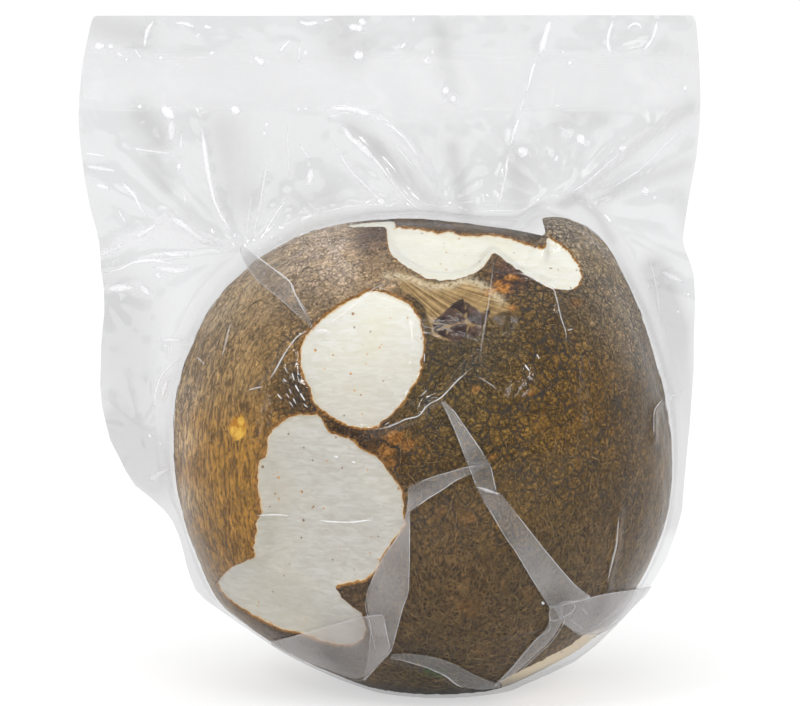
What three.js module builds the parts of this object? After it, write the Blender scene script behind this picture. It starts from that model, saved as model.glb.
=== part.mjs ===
import * as THREE from 'three';

// A whole taro corm standing on its trimmed base inside a clear, flat-seamed
// film pouch that is drawn tight around it. Millimetres, +Z up, front at -Y.

// ---- driving dimensions
const CENTRE = [-5.4, 0, 62];   // centre the corm's radii are measured from
const DEPTH_FRONT = 60;         // corm half depth towards the front
const DEPTH_BACK = 57;          // corm half depth towards the back
const FILM = 0.25;              // film thickness
const SKIN_GAP = 0.4;           // clearance from corm to film
const SEAM_GAP = 0.3;           // clearance between the two films
const TENT = 4.5;               // how far the film bridges off the corm's edge
const MIN_RIM = 1.2;            // narrowest seam allowance around the corm
const RAYS = 90;                // directions around the front view
const RINGS = 22;               // rings from the front pole to the back pole
const HUG = 10;                 // rings of film that lie on the corm
const ORIGIN = [-15.15, -1, 0]; // middle of the pouch's footprint

// corm outline in the front view, [x, z]
const CORM_OUTLINE = [
  [-73.6, 66.2], [-73.5, 71.6], [-73.0, 77.1], [-72.0, 82.0], [-70.2, 88.0], [-67.5, 94.8],
  [-64.2, 101.0], [-60.1, 106.7], [-55.2, 111.3], [-50.4, 115.7], [-45.0, 118.9], [-39.0, 121.9],
  [-33.1, 123.8], [-26.9, 125.1], [-20.2, 125.9], [-12.2, 126.3], [-5.4, 126.2], [1.3, 125.4],
  [9.3, 124.4], [17.4, 123.3], [22.8, 122.9], [25.7, 124.3], [27.6, 126.2], [30.8, 126.7],
  [34.9, 126.2], [38.9, 124.3], [42.2, 121.1], [44.9, 117.3], [47.6, 112.4], [50.3, 106.5],
  [52.5, 101.6], [54.5, 96.2], [56.2, 90.7], [57.8, 85.3], [59.2, 79.8], [60.7, 71.6],
  [61.6, 63.4], [61.6, 55.2], [61.1, 49.7], [59.8, 44.2], [58.0, 38.7], [55.6, 33.2],
  [52.7, 27.6], [49.4, 21.2], [44.6, 15.2], [38.9, 9.9], [32.3, 5.3], [25.0, 1.4],
  [17.0, -1.6], [11.1, -2.9], [5.6, -4.0], [0.2, -4.6], [-6.7, -4.2], [-12.2, -3.2],
  [-20.3, -1.0], [-28.5, 2.1], [-36.7, 5.7], [-43.5, 9.1], [-49.8, 13.2], [-55.8, 17.4],
  [-60.7, 21.5], [-63.9, 26.0], [-66.3, 32.1], [-68.7, 38.1], [-70.8, 44.7], [-72.4, 51.9],
  [-73.3, 59.0],
];

// pouch outline in the front view, [x, z]
const POUCH_OUTLINE = [
  [-94.3, 180.5], [-96.0, 173.5], [-97.4, 166.6], [-98.1, 159.4], [-98.4, 152.7], [-97.9, 144.7],
  [-96.8, 136.1], [-95.5, 128.3], [-94.1, 123.8], [-93.1, 119.2], [-92.8, 113.0], [-92.0, 107.0],
  [-91.9, 101.0], [-92.6, 94.8], [-92.9, 90.7], [-93.2, 80.9], [-92.8, 75.7], [-91.9, 71.4],
  [-90.7, 66.2], [-88.6, 62.1], [-86.5, 57.7], [-84.1, 53.7], [-80.0, 50.5], [-76.0, 46.9],
  [-73.8, 43.9], [-72.2, 40.1], [-71.2, 36.5], [-70.4, 32.9], [-69.3, 29.0], [-67.7, 24.9],
  [-65.3, 22.4], [-62.3, 20.2], [-56.2, 15.7], [-49.9, 11.9], [-43.8, 8.6], [-37.8, 5.2],
  [-31.4, 2.7], [-25.3, 0.7], [-19.0, -1.0], [-13.5, -1.4], [-6.7, -1.4], [0.2, -1.4],
  [7.0, -1.4], [15.2, -1.4], [20.6, -1.0], [27.5, 1.1], [35.6, 5.0], [41.3, 9.6],
  [46.5, 14.9], [51.5, 20.3], [56.1, 26.2], [59.9, 32.7], [62.5, 39.8], [64.4, 47.1],
  [64.9, 54.6], [65.5, 62.1], [66.2, 69.7], [66.7, 77.6], [67.2, 85.9], [67.1, 94.7],
  [67.3, 101.6], [67.2, 106.5], [66.9, 111.1], [65.9, 114.4], [64.5, 117.8], [63.8, 120.2],
  [64.2, 124.6], [64.9, 129.9], [66.2, 137.2], [67.2, 143.6], [67.9, 151.4], [68.1, 158.1],
  [67.9, 164.3], [67.3, 172.7], [66.4, 180.7],
];

// broad swellings and hollows: direction, angular width, height
const LUMPS = [
  [[0.55, -0.75, 0.35], 0.38, 2.2], [[-0.55, -0.70, 0.45], 0.36, 1.6],
  [[0.15, -0.95, -0.25], 0.40, 1.8], [[-0.35, -0.85, -0.40], 0.35, -1.2],
  [[0.30, -0.80, 0.55], 0.25, -1.4], [[0.62, -0.62, -0.50], 0.30, 1.4],
  [[0.50, 0.70, 0.50], 0.40, 2.4], [[-0.60, 0.65, 0.40], 0.38, -2.0],
  [[0.05, 0.95, -0.10], 0.42, 2.2], [[-0.45, 0.70, -0.55], 0.36, 2.0],
  [[0.60, 0.60, -0.50], 0.32, -1.8], [[0.0, 0.75, 0.65], 0.30, -1.5],
];

// knife cuts that bare the flesh: outward normal, distance from CENTRE
const CUTS = [
  [[0.07, -0.429, 0.90], 61.6],      // crown
  [[-0.145, -0.863, 0.483], 60.0],   // round cut, front
  [[-0.459, -0.864, -0.209], 57.6],  // large cut, front left
  [[-0.50, -0.694, -0.518], 60.2],   // its lower part
  [[0.45, -0.25, -0.857], 66.5],     // underside, right
];

// ---- outline radii around CENTRE
const TAU = Math.PI * 2;
const TABLE = 1440;

function radii(outline) {
  const rel = outline.map(([x, z]) => [x - CENTRE[0], z - CENTRE[2]]);
  const out = new Float64Array(TABLE);
  for (let i = 0; i < TABLE; i++) {
    const a = -Math.PI + (TAU * i) / TABLE;
    const dx = Math.cos(a), dz = Math.sin(a);
    let best = 0;
    for (let k = 0; k < rel.length; k++) {
      const [px, pz] = rel[k];
      const [qx, qz] = rel[(k + 1) % rel.length];
      const ex = qx - px, ez = qz - pz;
      const den = dx * ez - dz * ex;
      if (Math.abs(den) < 1e-12) continue;
      const t = (px * ez - pz * ex) / den;
      const s = (px * dz - pz * dx) / den;
      if (s >= -1e-6 && s <= 1 + 1e-6 && t > best) best = t;
    }
    out[i] = best;
  }
  return out;
}

function smoothed(table, sigmaDeg) {
  const out = new Float64Array(TABLE);
  const half = Math.round((4 * sigmaDeg * TABLE) / 360);
  let total = 0;
  const g = [];
  for (let k = -half; k <= half; k++) {
    const w = Math.exp(-0.5 * ((k * 360) / TABLE / sigmaDeg) ** 2);
    g.push(w);
    total += w;
  }
  for (let i = 0; i < TABLE; i++) {
    let sum = 0;
    for (let k = -half; k <= half; k++) sum += g[k + half] * table[(i + k + TABLE) % TABLE];
    out[i] = sum / total;
  }
  return out;
}

function look(table, a) {
  const f = ((((a + Math.PI) / TAU) % 1) + 1) % 1 * TABLE;
  const i = Math.floor(f), w = f - i;
  return table[i % TABLE] * (1 - w) + table[(i + 1) % TABLE] * w;
}

const CORM_R = radii(CORM_OUTLINE);
const CORM_SMOOTH = smoothed(CORM_R, 14);
const POUCH_R = radii(POUCH_OUTLINE);

// ---- surface of the corm grown by `off`, in the unit direction (sx, sy, sz)
const UNIT = LUMPS.map(([v]) => new THREE.Vector3(...v).normalize());

function surface(sx, sy, sz, off) {
  const a = Math.atan2(sz, sx);
  const w = Math.exp(-((sy / 0.42) ** 2));
  const r = look(CORM_SMOOTH, a) * (1 - w) + look(CORM_R, a) * w + off;
  const b = (sy < 0 ? DEPTH_FRONT : DEPTH_BACK) + off;
  const v = new THREE.Vector3(r * sx, b * sy, r * sz);
  let t = v.length();
  v.divideScalar(t);
  const ww = (sy * sy) / (sy * sy + 0.06);
  LUMPS.forEach(([, width, height], i) => {
    const u = UNIT[i];
    const q = (sx - u.x) ** 2 + (sy - u.y) ** 2 + (sz - u.z) ** 2;
    t += ww * height * Math.exp(-q / width ** 2);
  });
  for (const [n, dist] of CUTS) {
    const c = v.x * n[0] + v.y * n[1] + v.z * n[2];
    if (c > 1e-6) t = Math.min(t, (dist + off) / c);
  }
  return v.multiplyScalar(t);
}

// ---- directions around the front view, a few of them moved onto corners
const ANGLES = [];
for (let i = 0; i < RAYS; i++) ANGLES.push(-Math.PI + (TAU * (i + 0.5)) / RAYS);
for (const [x, z] of [[-94.3, 180.5], [66.4, 180.7], [63.8, 120.2], [22.8, 122.9], [29, 126.5],
  [-86.5, 57.7], [68.1, 158.1], [-98.4, 152.7]]) {
  const a = Math.atan2(z - CENTRE[2], x - CENTRE[0]);
  let k = 0;
  for (let i = 1; i < RAYS; i++) if (Math.abs(ANGLES[i] - a) < Math.abs(ANGLES[k] - a)) k = i;
  ANGLES[k] = a;
}
ANGLES.sort((p, q) => p - q);

const place = (v) => [v.x + CENTRE[0] - ORIGIN[0], v.y + CENTRE[1] - ORIGIN[1], v.z + CENTRE[2] - ORIGIN[2]];

// ---- a closed body from rows of points
function body(name, points, faces, material) {
  const g = new THREE.BufferGeometry();
  g.setAttribute('position', new THREE.BufferAttribute(new Float32Array(points.flat()), 3));
  g.setIndex(faces);
  g.computeVertexNormals();
  const mesh = new THREE.Mesh(g, material);
  mesh.name = name;
  return mesh;
}

// ---- corm: rings from the front pole to the back pole
function corm() {
  const points = [];
  const faces = [];
  const base = FILM + SKIN_GAP;
  const add = (sx, sy, sz) => {
    const p = place(surface(sx, sy, sz, 0));
    p[2] = Math.max(p[2], base);
    points.push(p);
  };
  add(0, -1, 0);
  for (let k = 1; k < RINGS; k++) {
    const th = (Math.PI * k) / RINGS;
    for (const a of ANGLES) add(Math.sin(th) * Math.cos(a), -Math.cos(th), Math.sin(th) * Math.sin(a));
  }
  add(0, 1, 0);
  const last = points.length - 1;
  const at = (k, i) => 1 + (k - 1) * RAYS + (i % RAYS);
  for (let i = 0; i < RAYS; i++) {
    faces.push(0, at(1, i), at(1, i + 1));
    for (let k = 1; k < RINGS - 1; k++) {
      faces.push(at(k, i), at(k + 1, i), at(k + 1, i + 1));
      faces.push(at(k, i), at(k + 1, i + 1), at(k, i + 1));
    }
    faces.push(last, at(RINGS - 1, i + 1), at(RINGS - 1, i));
  }
  return body('taro_corm', points, faces,
    new THREE.MeshStandardMaterial({ color: 0x6e5a35, roughness: 0.85, metalness: 0 }));
}

// ---- gentle bow of the flat seam allowance
function bow(x, z, width) {
  const k = Math.min(1, Math.max(0, (width - 6) / 25));
  return k * (1.6 * Math.sin(x / 17 + 0.6) + 1.1 * Math.sin(x / 9.5 - z / 23 + 2.0));
}

const mix = (p, q, t) => p + (q - p) * t;

// one film: side -1 is the front, +1 the back
function film(name, side, color) {
  const rows = [];
  rows.push([surface(0, side, 0, SKIN_GAP + FILM / 2)]);
  const off = SKIN_GAP + FILM / 2;
  const seam = SEAM_GAP / 2 + FILM / 2;
  for (let k = 1; k <= HUG; k++) {
    const th = (Math.PI * k) / RINGS;
    rows.push(ANGLES.map((a) => surface(Math.sin(th) * Math.cos(a), side * Math.cos(th), Math.sin(th) * Math.sin(a), off)));
  }
  // bridge from the last ring to the seam, then the flat allowance
  const depth = side < 0 ? DEPTH_FRONT : DEPTH_BACK;
  const extra = [[], [], [], [], []];
  ANGLES.forEach((a, i) => {
    const r0 = look(CORM_R, a);
    const rOut = Math.max(look(POUCH_R, a), r0 + MIN_RIM);
    const w = rOut - r0;
    const rs = r0 + Math.min(TENT, 0.55 * w);
    const wide = Math.min(1, Math.max(0, (w - 2.5) / 5.5));
    // wide allowance: the film leaves the corm one ring earlier, on the tangent
    const p = rows[HUG][i];
    const q = rows[HUG - 1][i];
    const th = (Math.PI * (HUG - 1)) / RINGS;
    const slope = (r0 * Math.cos(th)) / (depth * Math.sin(th));
    const rq = Math.hypot(q.x, q.z);
    const rp = Math.hypot(p.x, p.z);
    const lift = wide * Math.max(0, rq + (Math.abs(q.y) - Math.abs(p.y)) * slope - rp);
    p.x += Math.cos(a) * lift;
    p.z += Math.sin(a) * lift;
    const put = (row, r, y) => {
      const m = bow(r * Math.cos(a), r * Math.sin(a), r - r0);
      extra[row].push(new THREE.Vector3(r * Math.cos(a), m + side * y, r * Math.sin(a)));
    };
    put(0, r0 + 0.35 * (rs - r0) + 0.25, 4.2);
    put(1, rs, seam + mix(2.4, 0.5, wide));
    put(2, mix(rs, rOut, 0.33), seam + mix(1.6, 0.3, wide));
    put(3, mix(rs, rOut, 0.67), seam + mix(0.8, 0.1, wide));
    put(4, rOut, seam);
  });
  rows.push(...extra);

  // normals of the middle surface, pointing out of the pouch
  const n = rows.length;
  const flip = side < 0 ? 1 : -1;
  const normals = rows.map((row, k) => row.map((p, i) => {
    if (k === 0) return new THREE.Vector3(0, side, 0);
    const m = row.length;
    const before = k === 1 ? rows[0][0] : rows[k - 1][i];
    const after = rows[Math.min(k + 1, n - 1)][i];
    const along = after.clone().sub(before);
    const across = row[(i + 1) % m].clone().sub(row[(i + m - 1) % m]);
    return along.cross(across).multiplyScalar(flip).normalize();
  }));

  const points = [];
  const faces = [];
  const layer = (sign) => rows.forEach((row, k) => row.forEach((p, i) => {
    const v = p.clone().addScaledVector(normals[k][i], (sign * FILM) / 2);
    const c = place(v);
    c[2] = Math.max(c[2], sign > 0 ? 0 : FILM);
    points.push(c);
  }));
  layer(1);
  const half = points.length;
  layer(-1);
  const at = (k, i) => (k === 0 ? 0 : 1 + (k - 1) * RAYS + (i % RAYS));
  const tri = (a, b, c) => (side < 0 ? faces.push(a, b, c) : faces.push(a, c, b));
  for (let i = 0; i < RAYS; i++) {
    tri(0, at(1, i), at(1, i + 1));
    tri(half, half + at(1, i + 1), half + at(1, i));
    for (let k = 1; k < n - 1; k++) {
      const a = at(k, i), b = at(k + 1, i), c = at(k + 1, i + 1), d = at(k, i + 1);
      // the same diagonals as the corm's facets, then as the other film's
      if (side < 0 || k > HUG) {
        tri(a, b, c);
        tri(a, c, d);
        tri(half + a, half + c, half + b);
        tri(half + a, half + d, half + c);
      } else {
        tri(a, b, d);
        tri(b, c, d);
        tri(half + a, half + d, half + b);
        tri(half + b, half + d, half + c);
      }
    }
    const a = at(n - 1, i), b = at(n - 1, i + 1);
    tri(a, half + a, half + b);
    tri(a, half + b, b);
  }
  return body(name, points, faces,
    new THREE.MeshStandardMaterial({ color, roughness: 0.12, metalness: 0, transparent: true, opacity: 0.3 }));
}

const part = new THREE.Group();
part.name = 'bagged_taro_corm';
part.add(corm());
part.add(film('pouch_front_film', -1, 0xe4e8ea));
part.add(film('pouch_back_film', 1, 0xdde2e4));
export default part;
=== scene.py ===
import math
import bpy
import numpy as np
from mathutils import Vector, Matrix
from mathutils.bvhtree import BVHTree


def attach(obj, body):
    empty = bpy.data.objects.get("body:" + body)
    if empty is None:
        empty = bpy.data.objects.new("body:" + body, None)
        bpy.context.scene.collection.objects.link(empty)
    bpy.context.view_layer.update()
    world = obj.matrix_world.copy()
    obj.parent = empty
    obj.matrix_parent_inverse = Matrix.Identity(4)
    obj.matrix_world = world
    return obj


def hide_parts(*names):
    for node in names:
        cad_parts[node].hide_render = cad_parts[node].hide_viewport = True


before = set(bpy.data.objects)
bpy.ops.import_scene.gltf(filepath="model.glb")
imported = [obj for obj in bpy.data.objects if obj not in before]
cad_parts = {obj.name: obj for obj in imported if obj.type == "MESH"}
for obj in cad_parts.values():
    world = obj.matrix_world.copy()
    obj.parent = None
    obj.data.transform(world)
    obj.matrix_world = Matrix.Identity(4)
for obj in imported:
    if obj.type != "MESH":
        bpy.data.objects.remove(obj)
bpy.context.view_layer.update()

RNG = np.random.default_rng(7)

# ------------------------------------------------------------------ camera
# Points below are in millimetres in the front view's own frame; to_m() puts
# them in the model's frame.
SHIFT = np.array([15.15, 1.0, 0.0])
ELEV = math.radians(7.0)
FPX = 900.0 / 0.27
AIM = np.array([-12.15, 0.0, 89.90514])
LOOK = np.array([0.0, math.cos(ELEV), -math.sin(ELEV)])
UP = np.array([0.0, math.sin(ELEV), math.cos(ELEV)])
EYE = AIM - LOOK * 900.0


def to_m(p):
    return (np.asarray(p, float) + SHIFT) / 1000.0


def px(p):
    r = np.asarray(p, float) - EYE
    dep = r @ LOOK
    return 400 + FPX * r[..., 0] / dep, 353 - FPX * (r @ UP) / dep


def ray_dir(u, v):
    u = np.asarray(u, float); v = np.asarray(v, float)
    d = ((u[..., None] - 400) / FPX) * np.array([1.0, 0, 0]) + LOOK + UP * ((353 - v[..., None]) / FPX)
    return d / np.linalg.norm(d, axis=-1)[..., None]


# ------------------------------------------------------------------ outlines
ROOT_OUT = np.array([
    (-73.6, 66.2), (-73.5, 71.6), (-73.0, 77.1), (-72.0, 82.0), (-70.2, 88.0), (-67.5, 94.8),
    (-64.2, 101.0), (-60.1, 106.7), (-55.2, 111.3), (-50.4, 115.7), (-45.0, 118.9), (-39.0, 121.9),
    (-33.1, 123.8), (-26.9, 125.1), (-20.2, 125.9), (-12.2, 126.3), (-5.4, 126.2), (1.3, 125.4),
    (9.3, 124.4), (17.4, 123.5), (21.5, 122.8), (24.2, 122.3), (26.35, 126.4), (29.5, 127.0),
    (33.2, 126.5), (37.4, 124.8), (42.2, 121.1), (44.9, 117.3), (47.6, 112.4), (50.3, 106.5),
    (52.5, 101.6), (54.5, 96.2), (56.2, 90.7), (57.8, 85.3), (59.2, 79.8), (60.7, 71.6),
    (61.6, 63.4), (61.6, 55.2), (61.1, 49.7), (59.8, 44.2), (58.0, 38.7), (55.6, 33.2),
    (52.7, 27.6), (49.4, 21.2), (44.6, 15.2), (38.9, 9.9), (32.3, 5.3), (25.0, 1.4),
    (17.0, -1.6), (11.1, -2.9), (5.6, -4.0), (0.2, -4.6), (-6.7, -4.2), (-12.2, -3.2),
    (-20.3, -1.0), (-28.5, 2.1), (-36.7, 5.7), (-43.5, 9.1), (-49.8, 13.2), (-55.8, 17.4),
    (-60.7, 21.5), (-63.9, 26.0), (-66.3, 32.1), (-68.7, 38.1), (-70.8, 44.7), (-72.4, 51.9),
    (-73.3, 59.0),
])
BAG_OUT = np.array([
    (-94.3, 180.5), (-96.0, 173.5), (-97.4, 166.6), (-98.1, 159.4), (-98.4, 152.7), (-97.9, 144.7),
    (-96.8, 136.1), (-95.5, 128.3), (-94.1, 123.8), (-93.1, 119.2), (-92.8, 113.0), (-92.0, 107.0),
    (-91.9, 101.0), (-92.6, 94.8), (-92.9, 90.7), (-93.2, 80.9), (-92.8, 75.7), (-91.9, 71.4),
    (-90.7, 66.2), (-88.6, 62.1), (-86.5, 57.7), (-84.1, 53.7), (-80.0, 50.5), (-76.0, 46.9),
    (-73.8, 43.9), (-72.2, 40.1), (-71.2, 36.5), (-70.4, 32.9), (-69.3, 29.0), (-67.7, 24.9),
    (-65.3, 22.4), (-62.3, 20.2), (-56.2, 15.7), (-49.9, 11.9), (-43.8, 8.6), (-37.8, 5.2),
    (-31.4, 2.7), (-25.3, 0.7), (-19.0, -1.0), (-13.5, -1.4), (-6.7, -1.4), (0.2, -1.4),
    (7.0, -1.4), (15.2, -1.4), (20.6, -1.0), (27.5, 1.1), (35.6, 5.0), (41.3, 9.6),
    (46.5, 14.9), (51.5, 20.3), (56.1, 26.2), (59.9, 32.7), (62.5, 39.8), (64.4, 47.1),
    (64.9, 54.6), (65.5, 62.1), (66.2, 69.7), (66.7, 77.6), (67.2, 85.9), (67.1, 94.7),
    (67.3, 101.6), (67.2, 106.5), (66.9, 111.1), (65.9, 114.4), (64.5, 117.8), (63.8, 120.2),
    (64.2, 124.6), (64.9, 129.9), (66.2, 137.2), (67.2, 143.6), (67.9, 151.4), (68.1, 158.1),
    (67.9, 164.3), (67.3, 172.7), (66.4, 180.7),
])
C = np.array([-5.4, 0.0, 62.0])
BF, BB = 60.0, 57.0
LUMPS = [
    ((0.55, -0.75, 0.35), 0.38, 2.2), ((-0.55, -0.70, 0.45), 0.36, 1.6),
    ((0.15, -0.95, -0.25), 0.40, 1.8), ((-0.35, -0.85, -0.40), 0.35, -1.2),
    ((0.30, -0.80, 0.55), 0.25, -1.4), ((0.62, -0.62, -0.50), 0.30, 1.4),
    ((0.50, 0.70, 0.50), 0.40, 2.4), ((-0.60, 0.65, 0.40), 0.38, -2.0),
    ((0.05, 0.95, -0.10), 0.42, 2.2), ((-0.45, 0.70, -0.55), 0.36, 2.0),
    ((0.60, 0.60, -0.50), 0.32, -1.8), ((0.0, 0.75, 0.65), 0.30, -1.5),
]

# knife cuts seen from the front, outlined in the picture's frame, with the
# plane each one lies in: outward normal and distance from C
PATCH_A = [(386, 226), (387, 240), (390, 252), (400, 261), (413, 269), (425, 276), (437, 278.5), (450, 278.5),
           (462, 276), (475, 272), (484, 265), (490, 256), (494, 250), (502, 256), (510, 262), (520, 269),
           (530, 275), (541, 282), (551, 287), (562, 289), (573, 289), (580, 284), (583, 275), (581, 266),
           (577, 259), (571, 250), (562, 243), (553, 237), (549, 232), (547, 246), (537, 245), (525, 242),
           (512, 237), (500, 234), (490, 233), (475, 234), (460, 233), (450, 229), (437, 231), (425, 228),
           (405, 226)]
PATCH_C = [(372, 289), (385, 291), (400, 297), (411, 304), (416, 312), (420, 320), (422, 330), (424, 340),
           (423, 352), (421, 365), (419, 375), (416, 382), (409, 390), (406, 397), (399, 406), (389, 416),
           (384, 419), (376, 426), (363, 428), (351, 426), (346, 424), (337, 420), (327, 414), (318, 407),
           (312.6, 402), (308, 387), (303, 379), (299, 362), (300, 343), (305, 333), (311, 328), (316, 322),
           (324, 314), (334, 307), (345, 300), (357, 295), (366, 290)]
PATCH_B = [(288, 416), (299, 414), (316, 414), (322, 421), (328, 432), (343, 437), (353, 441), (362, 449),
           (374, 455), (382, 463), (391, 476), (399, 486), (402, 494), (404.5, 524), (397, 536), (387, 549),
           (380, 561), (374, 574), (366, 580), (353, 584), (339, 586), (334, 589), (341, 599), (351, 608),
           (360, 614), (366, 630), (362, 641), (351, 647), (337, 647), (322, 643), (303, 636), (278, 630.5),
           (257, 620), (238, 608.5), (225, 599), (219, 591), (216, 584), (221, 576), (230, 568), (242, 563),
           (252, 559), (251, 549), (253, 534), (254, 522), (259, 513), (257, 503), (255, 488), (255, 476),
           (257, 461), (263, 457), (265, 446), (267, 436), (272, 429), (280, 422)]
PATCH_E = [(501, 682), (524, 671), (550, 658), (570, 647), (585, 636), (604, 628), (620, 622), (620, 660),
           (580, 690), (540, 700), (505, 700)]
CREAM = [(335, 221), (362, 217), (392, 214), (396, 226), (372, 226), (352, 226)]
CUTS = [
    (PATCH_A, (0.07, -0.429, 0.90), 61.6),
    (PATCH_C, (-0.145, -0.863, 0.483), 60.0),
    (PATCH_B, (-0.459, -0.864, -0.209), 57.6),
    (PATCH_B, (-0.50, -0.694, -0.518), 60.2),
    (PATCH_E, (0.45, -0.25, -0.857), 66.5),
]
# cuts the picture doesn't show: direction, angular radius, depth
BACK_CUTS = [((-0.42, 0.80, 0.30), 0.26, 1.8), ((0.50, 0.72, -0.35), 0.20, 1.2)]

PEEL = [(398, 268), (412, 274), (428, 281), (450, 282), (466, 278), (480, 284), (492, 288), (503, 297), (516, 308),
        (500, 312), (488, 318), (484, 328), (470, 338), (452, 341), (440, 338), (433, 334), (428, 318), (424, 305),
        (414, 296), (402, 290)]
PLATE = [(451, 304), (463, 297), (470, 303), (482, 312), (492, 306), (488, 318), (484, 324), (480, 335), (467, 339),
         (452, 341), (446, 337), (434, 332), (432, 322), (438, 316)]
VEIL = [(386, 274), (400, 275), (414, 278), (424, 284), (437, 285), (451, 284), (462, 279), (472, 279), (482, 284),
        (493, 291), (502, 300)]
VEINS = [[(463, 288), (465, 300), (467, 318), (468, 337)], [(432, 322), (450, 325), (465, 321), (481, 326)],
         [(450, 325), (447, 333)], [(463, 288), (474, 302), (486, 313)], [(455, 308), (467, 318), (474, 330)],
         [(436, 330), (450, 325)]]
BUD = [(240, 413), (244, 421), (245, 431), (240, 439), (234, 441), (229, 434), (228, 427), (232, 418)]
ORANGE = [(504, 288, 8, 5, 1.0), (512, 277, 8, 3, 0.9), (513, 307, 5, 3, 0.8), (490, 290, 6, 4, 0.6), (499, 283, 5, 3, 0.8),
          (396, 437, 10, 7, 0.75), (407, 444, 7, 6, 0.6), (386, 452, 8, 6, 0.6), (390, 463, 7, 4, 0.5), (476, 389, 5, 4, 0.5),
          (530, 393, 5, 3, 0.45), (470, 608, 12, 9, 0.22), (528, 594, 8, 7, 0.20), (493, 457, 4, 3, 0.45),
          (468, 518, 9, 6, 0.25), (440, 512, 6, 6, 0.25), (577, 302, 6, 4, 0.3)]
LEAF = [(428, 674, 4, 5), (436, 675, 5, 3.5), (445, 671, 4, 3), (441, 678, 4, 2.5)]

# broad colour regions of the skin: centre, radius, colour; the dark zone at (430, 682) along the base is painted shade
# where the corm sits on the floor
ZONES = [
    (225, 480, 62, (136, 98, 36)), (232, 345, 58, (136, 110, 73)), (179, 440, 15, (160, 140, 114)), (182, 395, 15, (160, 138, 110)), (186, 500, 15, (158, 134, 102)), (210, 305, 28, (152, 136, 114)), (258, 262, 26, (146, 132, 114)), (300, 262, 46, (168, 150, 130)),
    (330, 250, 26, (182, 164, 144)), (370, 236, 19, (74, 52, 46)), (380, 262, 18, (150, 126, 96)),
    (455, 400, 60, (96, 78, 42)), (560, 410, 80, (106, 78, 28)), (655, 400, 38, (82, 68, 48)),
    (590, 300, 48, (96, 78, 50)), (590, 240, 34, (154, 141, 124)), (622, 296, 32, (150, 136, 118)),
    (440, 580, 80, (92, 72, 46)), (570, 600, 60, (88, 72, 52)), (430, 682, 34, (54, 48, 30)),
    (360, 432, 22, (66, 44, 22)), (292, 388, 22, (66, 50, 34)), (400, 452, 26, (92, 62, 28)),
    (520, 500, 60, (100, 78, 40)), (630, 520, 40, (90, 72, 50)), (350, 620, 50, (80, 62, 44)),
    (430, 480, 40, (94, 72, 38)), (512, 274, 13, (92, 58, 44)), (642, 345, 22, (122, 108, 90)), (300, 310, 40, (118, 96, 66)), (480, 350, 34, (96, 82, 56)),
]


def srgb(r, g, b):
    def f(x):
        x /= 255.0
        return x / 12.92 if x <= 0.04045 else ((x + 0.055) / 1.055) ** 2.4
    return (f(r), f(g), f(b))


# ------------------------------------------------------------------ noise
def hash3(ix, iy, iz, seed):
    h = (ix * 374761393 + iy * 668265263 + iz * 1440662683 + seed * 974634777) & 0xFFFFFFFF
    h = ((h ^ (h >> 13)) * 1274126177) & 0xFFFFFFFF
    h = ((h ^ (h >> 15)) * 2246822519) & 0xFFFFFFFF
    h = h ^ (h >> 16)
    return (h & 0xFFFFFF) / float(0x1000000)


def vnoise(p, seed=0):
    f = np.floor(p).astype(np.int64)
    t = p - f
    t = t * t * t * (t * (t * 6 - 15) + 10)
    out = 0
    for dx in (0, 1):
        wx = t[:, 0] if dx else 1 - t[:, 0]
        for dy in (0, 1):
            wy = t[:, 1] if dy else 1 - t[:, 1]
            for dz in (0, 1):
                wz = t[:, 2] if dz else 1 - t[:, 2]
                out = out + wx * wy * wz * hash3(f[:, 0] + dx, f[:, 1] + dy, f[:, 2] + dz, seed)
    return out * 2 - 1


def fbm(p, octaves=3, seed=0):
    a, out, tot = 1.0, 0, 0
    for k in range(octaves):
        out = out + a * vnoise(p * (2.03 ** k), seed + 17 * k)
        tot += a
        a *= 0.5
    return out / tot


def voronoi(p, seed=0, jitter=0.95):
    f = np.floor(p).astype(np.int64)
    n = len(p)
    d1 = np.full(n, 9.0); d2 = np.full(n, 9.0); cid = np.zeros(n)
    for dx in (-1, 0, 1):
        for dy in (-1, 0, 1):
            for dz in (-1, 0, 1):
                cx, cy, cz = f[:, 0] + dx, f[:, 1] + dy, f[:, 2] + dz
                q = np.stack([cx + 0.5 + jitter * (hash3(cx, cy, cz, seed) - 0.5),
                              cy + 0.5 + jitter * (hash3(cx, cy, cz, seed + 1) - 0.5),
                              cz + 0.5 + jitter * (hash3(cx, cy, cz, seed + 2) - 0.5)], -1)
                d = np.sqrt(((q - p) ** 2).sum(-1))
                near = d < d1
                d2 = np.where(near, d1, np.minimum(d2, d))
                cid = np.where(near, hash3(cx, cy, cz, seed + 3), cid)
                d1 = np.where(near, d, d1)
    return d1, d2, cid


def sstep(a, b, x):
    t = np.clip((x - a) / (b - a), 0, 1)
    return t * t * (3 - 2 * t)


# ------------------------------------------------------------------ picture-frame distances
def seg_dist(u, v, pts, closed=False):
    pts = np.asarray(pts, float)
    a = pts
    b = np.roll(pts, -1, axis=0) if closed else pts[1:]
    if not closed:
        a = pts[:-1]
    best = np.full(u.shape, 1e9)
    for (ax, ay), (bx, by) in zip(a, b):
        ex, ey = bx - ax, by - ay
        t = np.clip(((u - ax) * ex + (v - ay) * ey) / (ex * ex + ey * ey + 1e-12), 0, 1)
        d = (u - ax - t * ex) ** 2 + (v - ay - t * ey) ** 2
        best = np.minimum(best, d)
    return np.sqrt(best)


def inside(u, v, poly):
    poly = np.asarray(poly, float)
    c = np.zeros(u.shape, bool)
    for (ax, ay), (bx, by) in zip(poly, np.roll(poly, -1, axis=0)):
        if ay == by:
            continue
        m = ((ay > v) != (by > v)) & (u < (bx - ax) * (v - ay) / (by - ay) + ax)
        c ^= m
    return c


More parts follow.
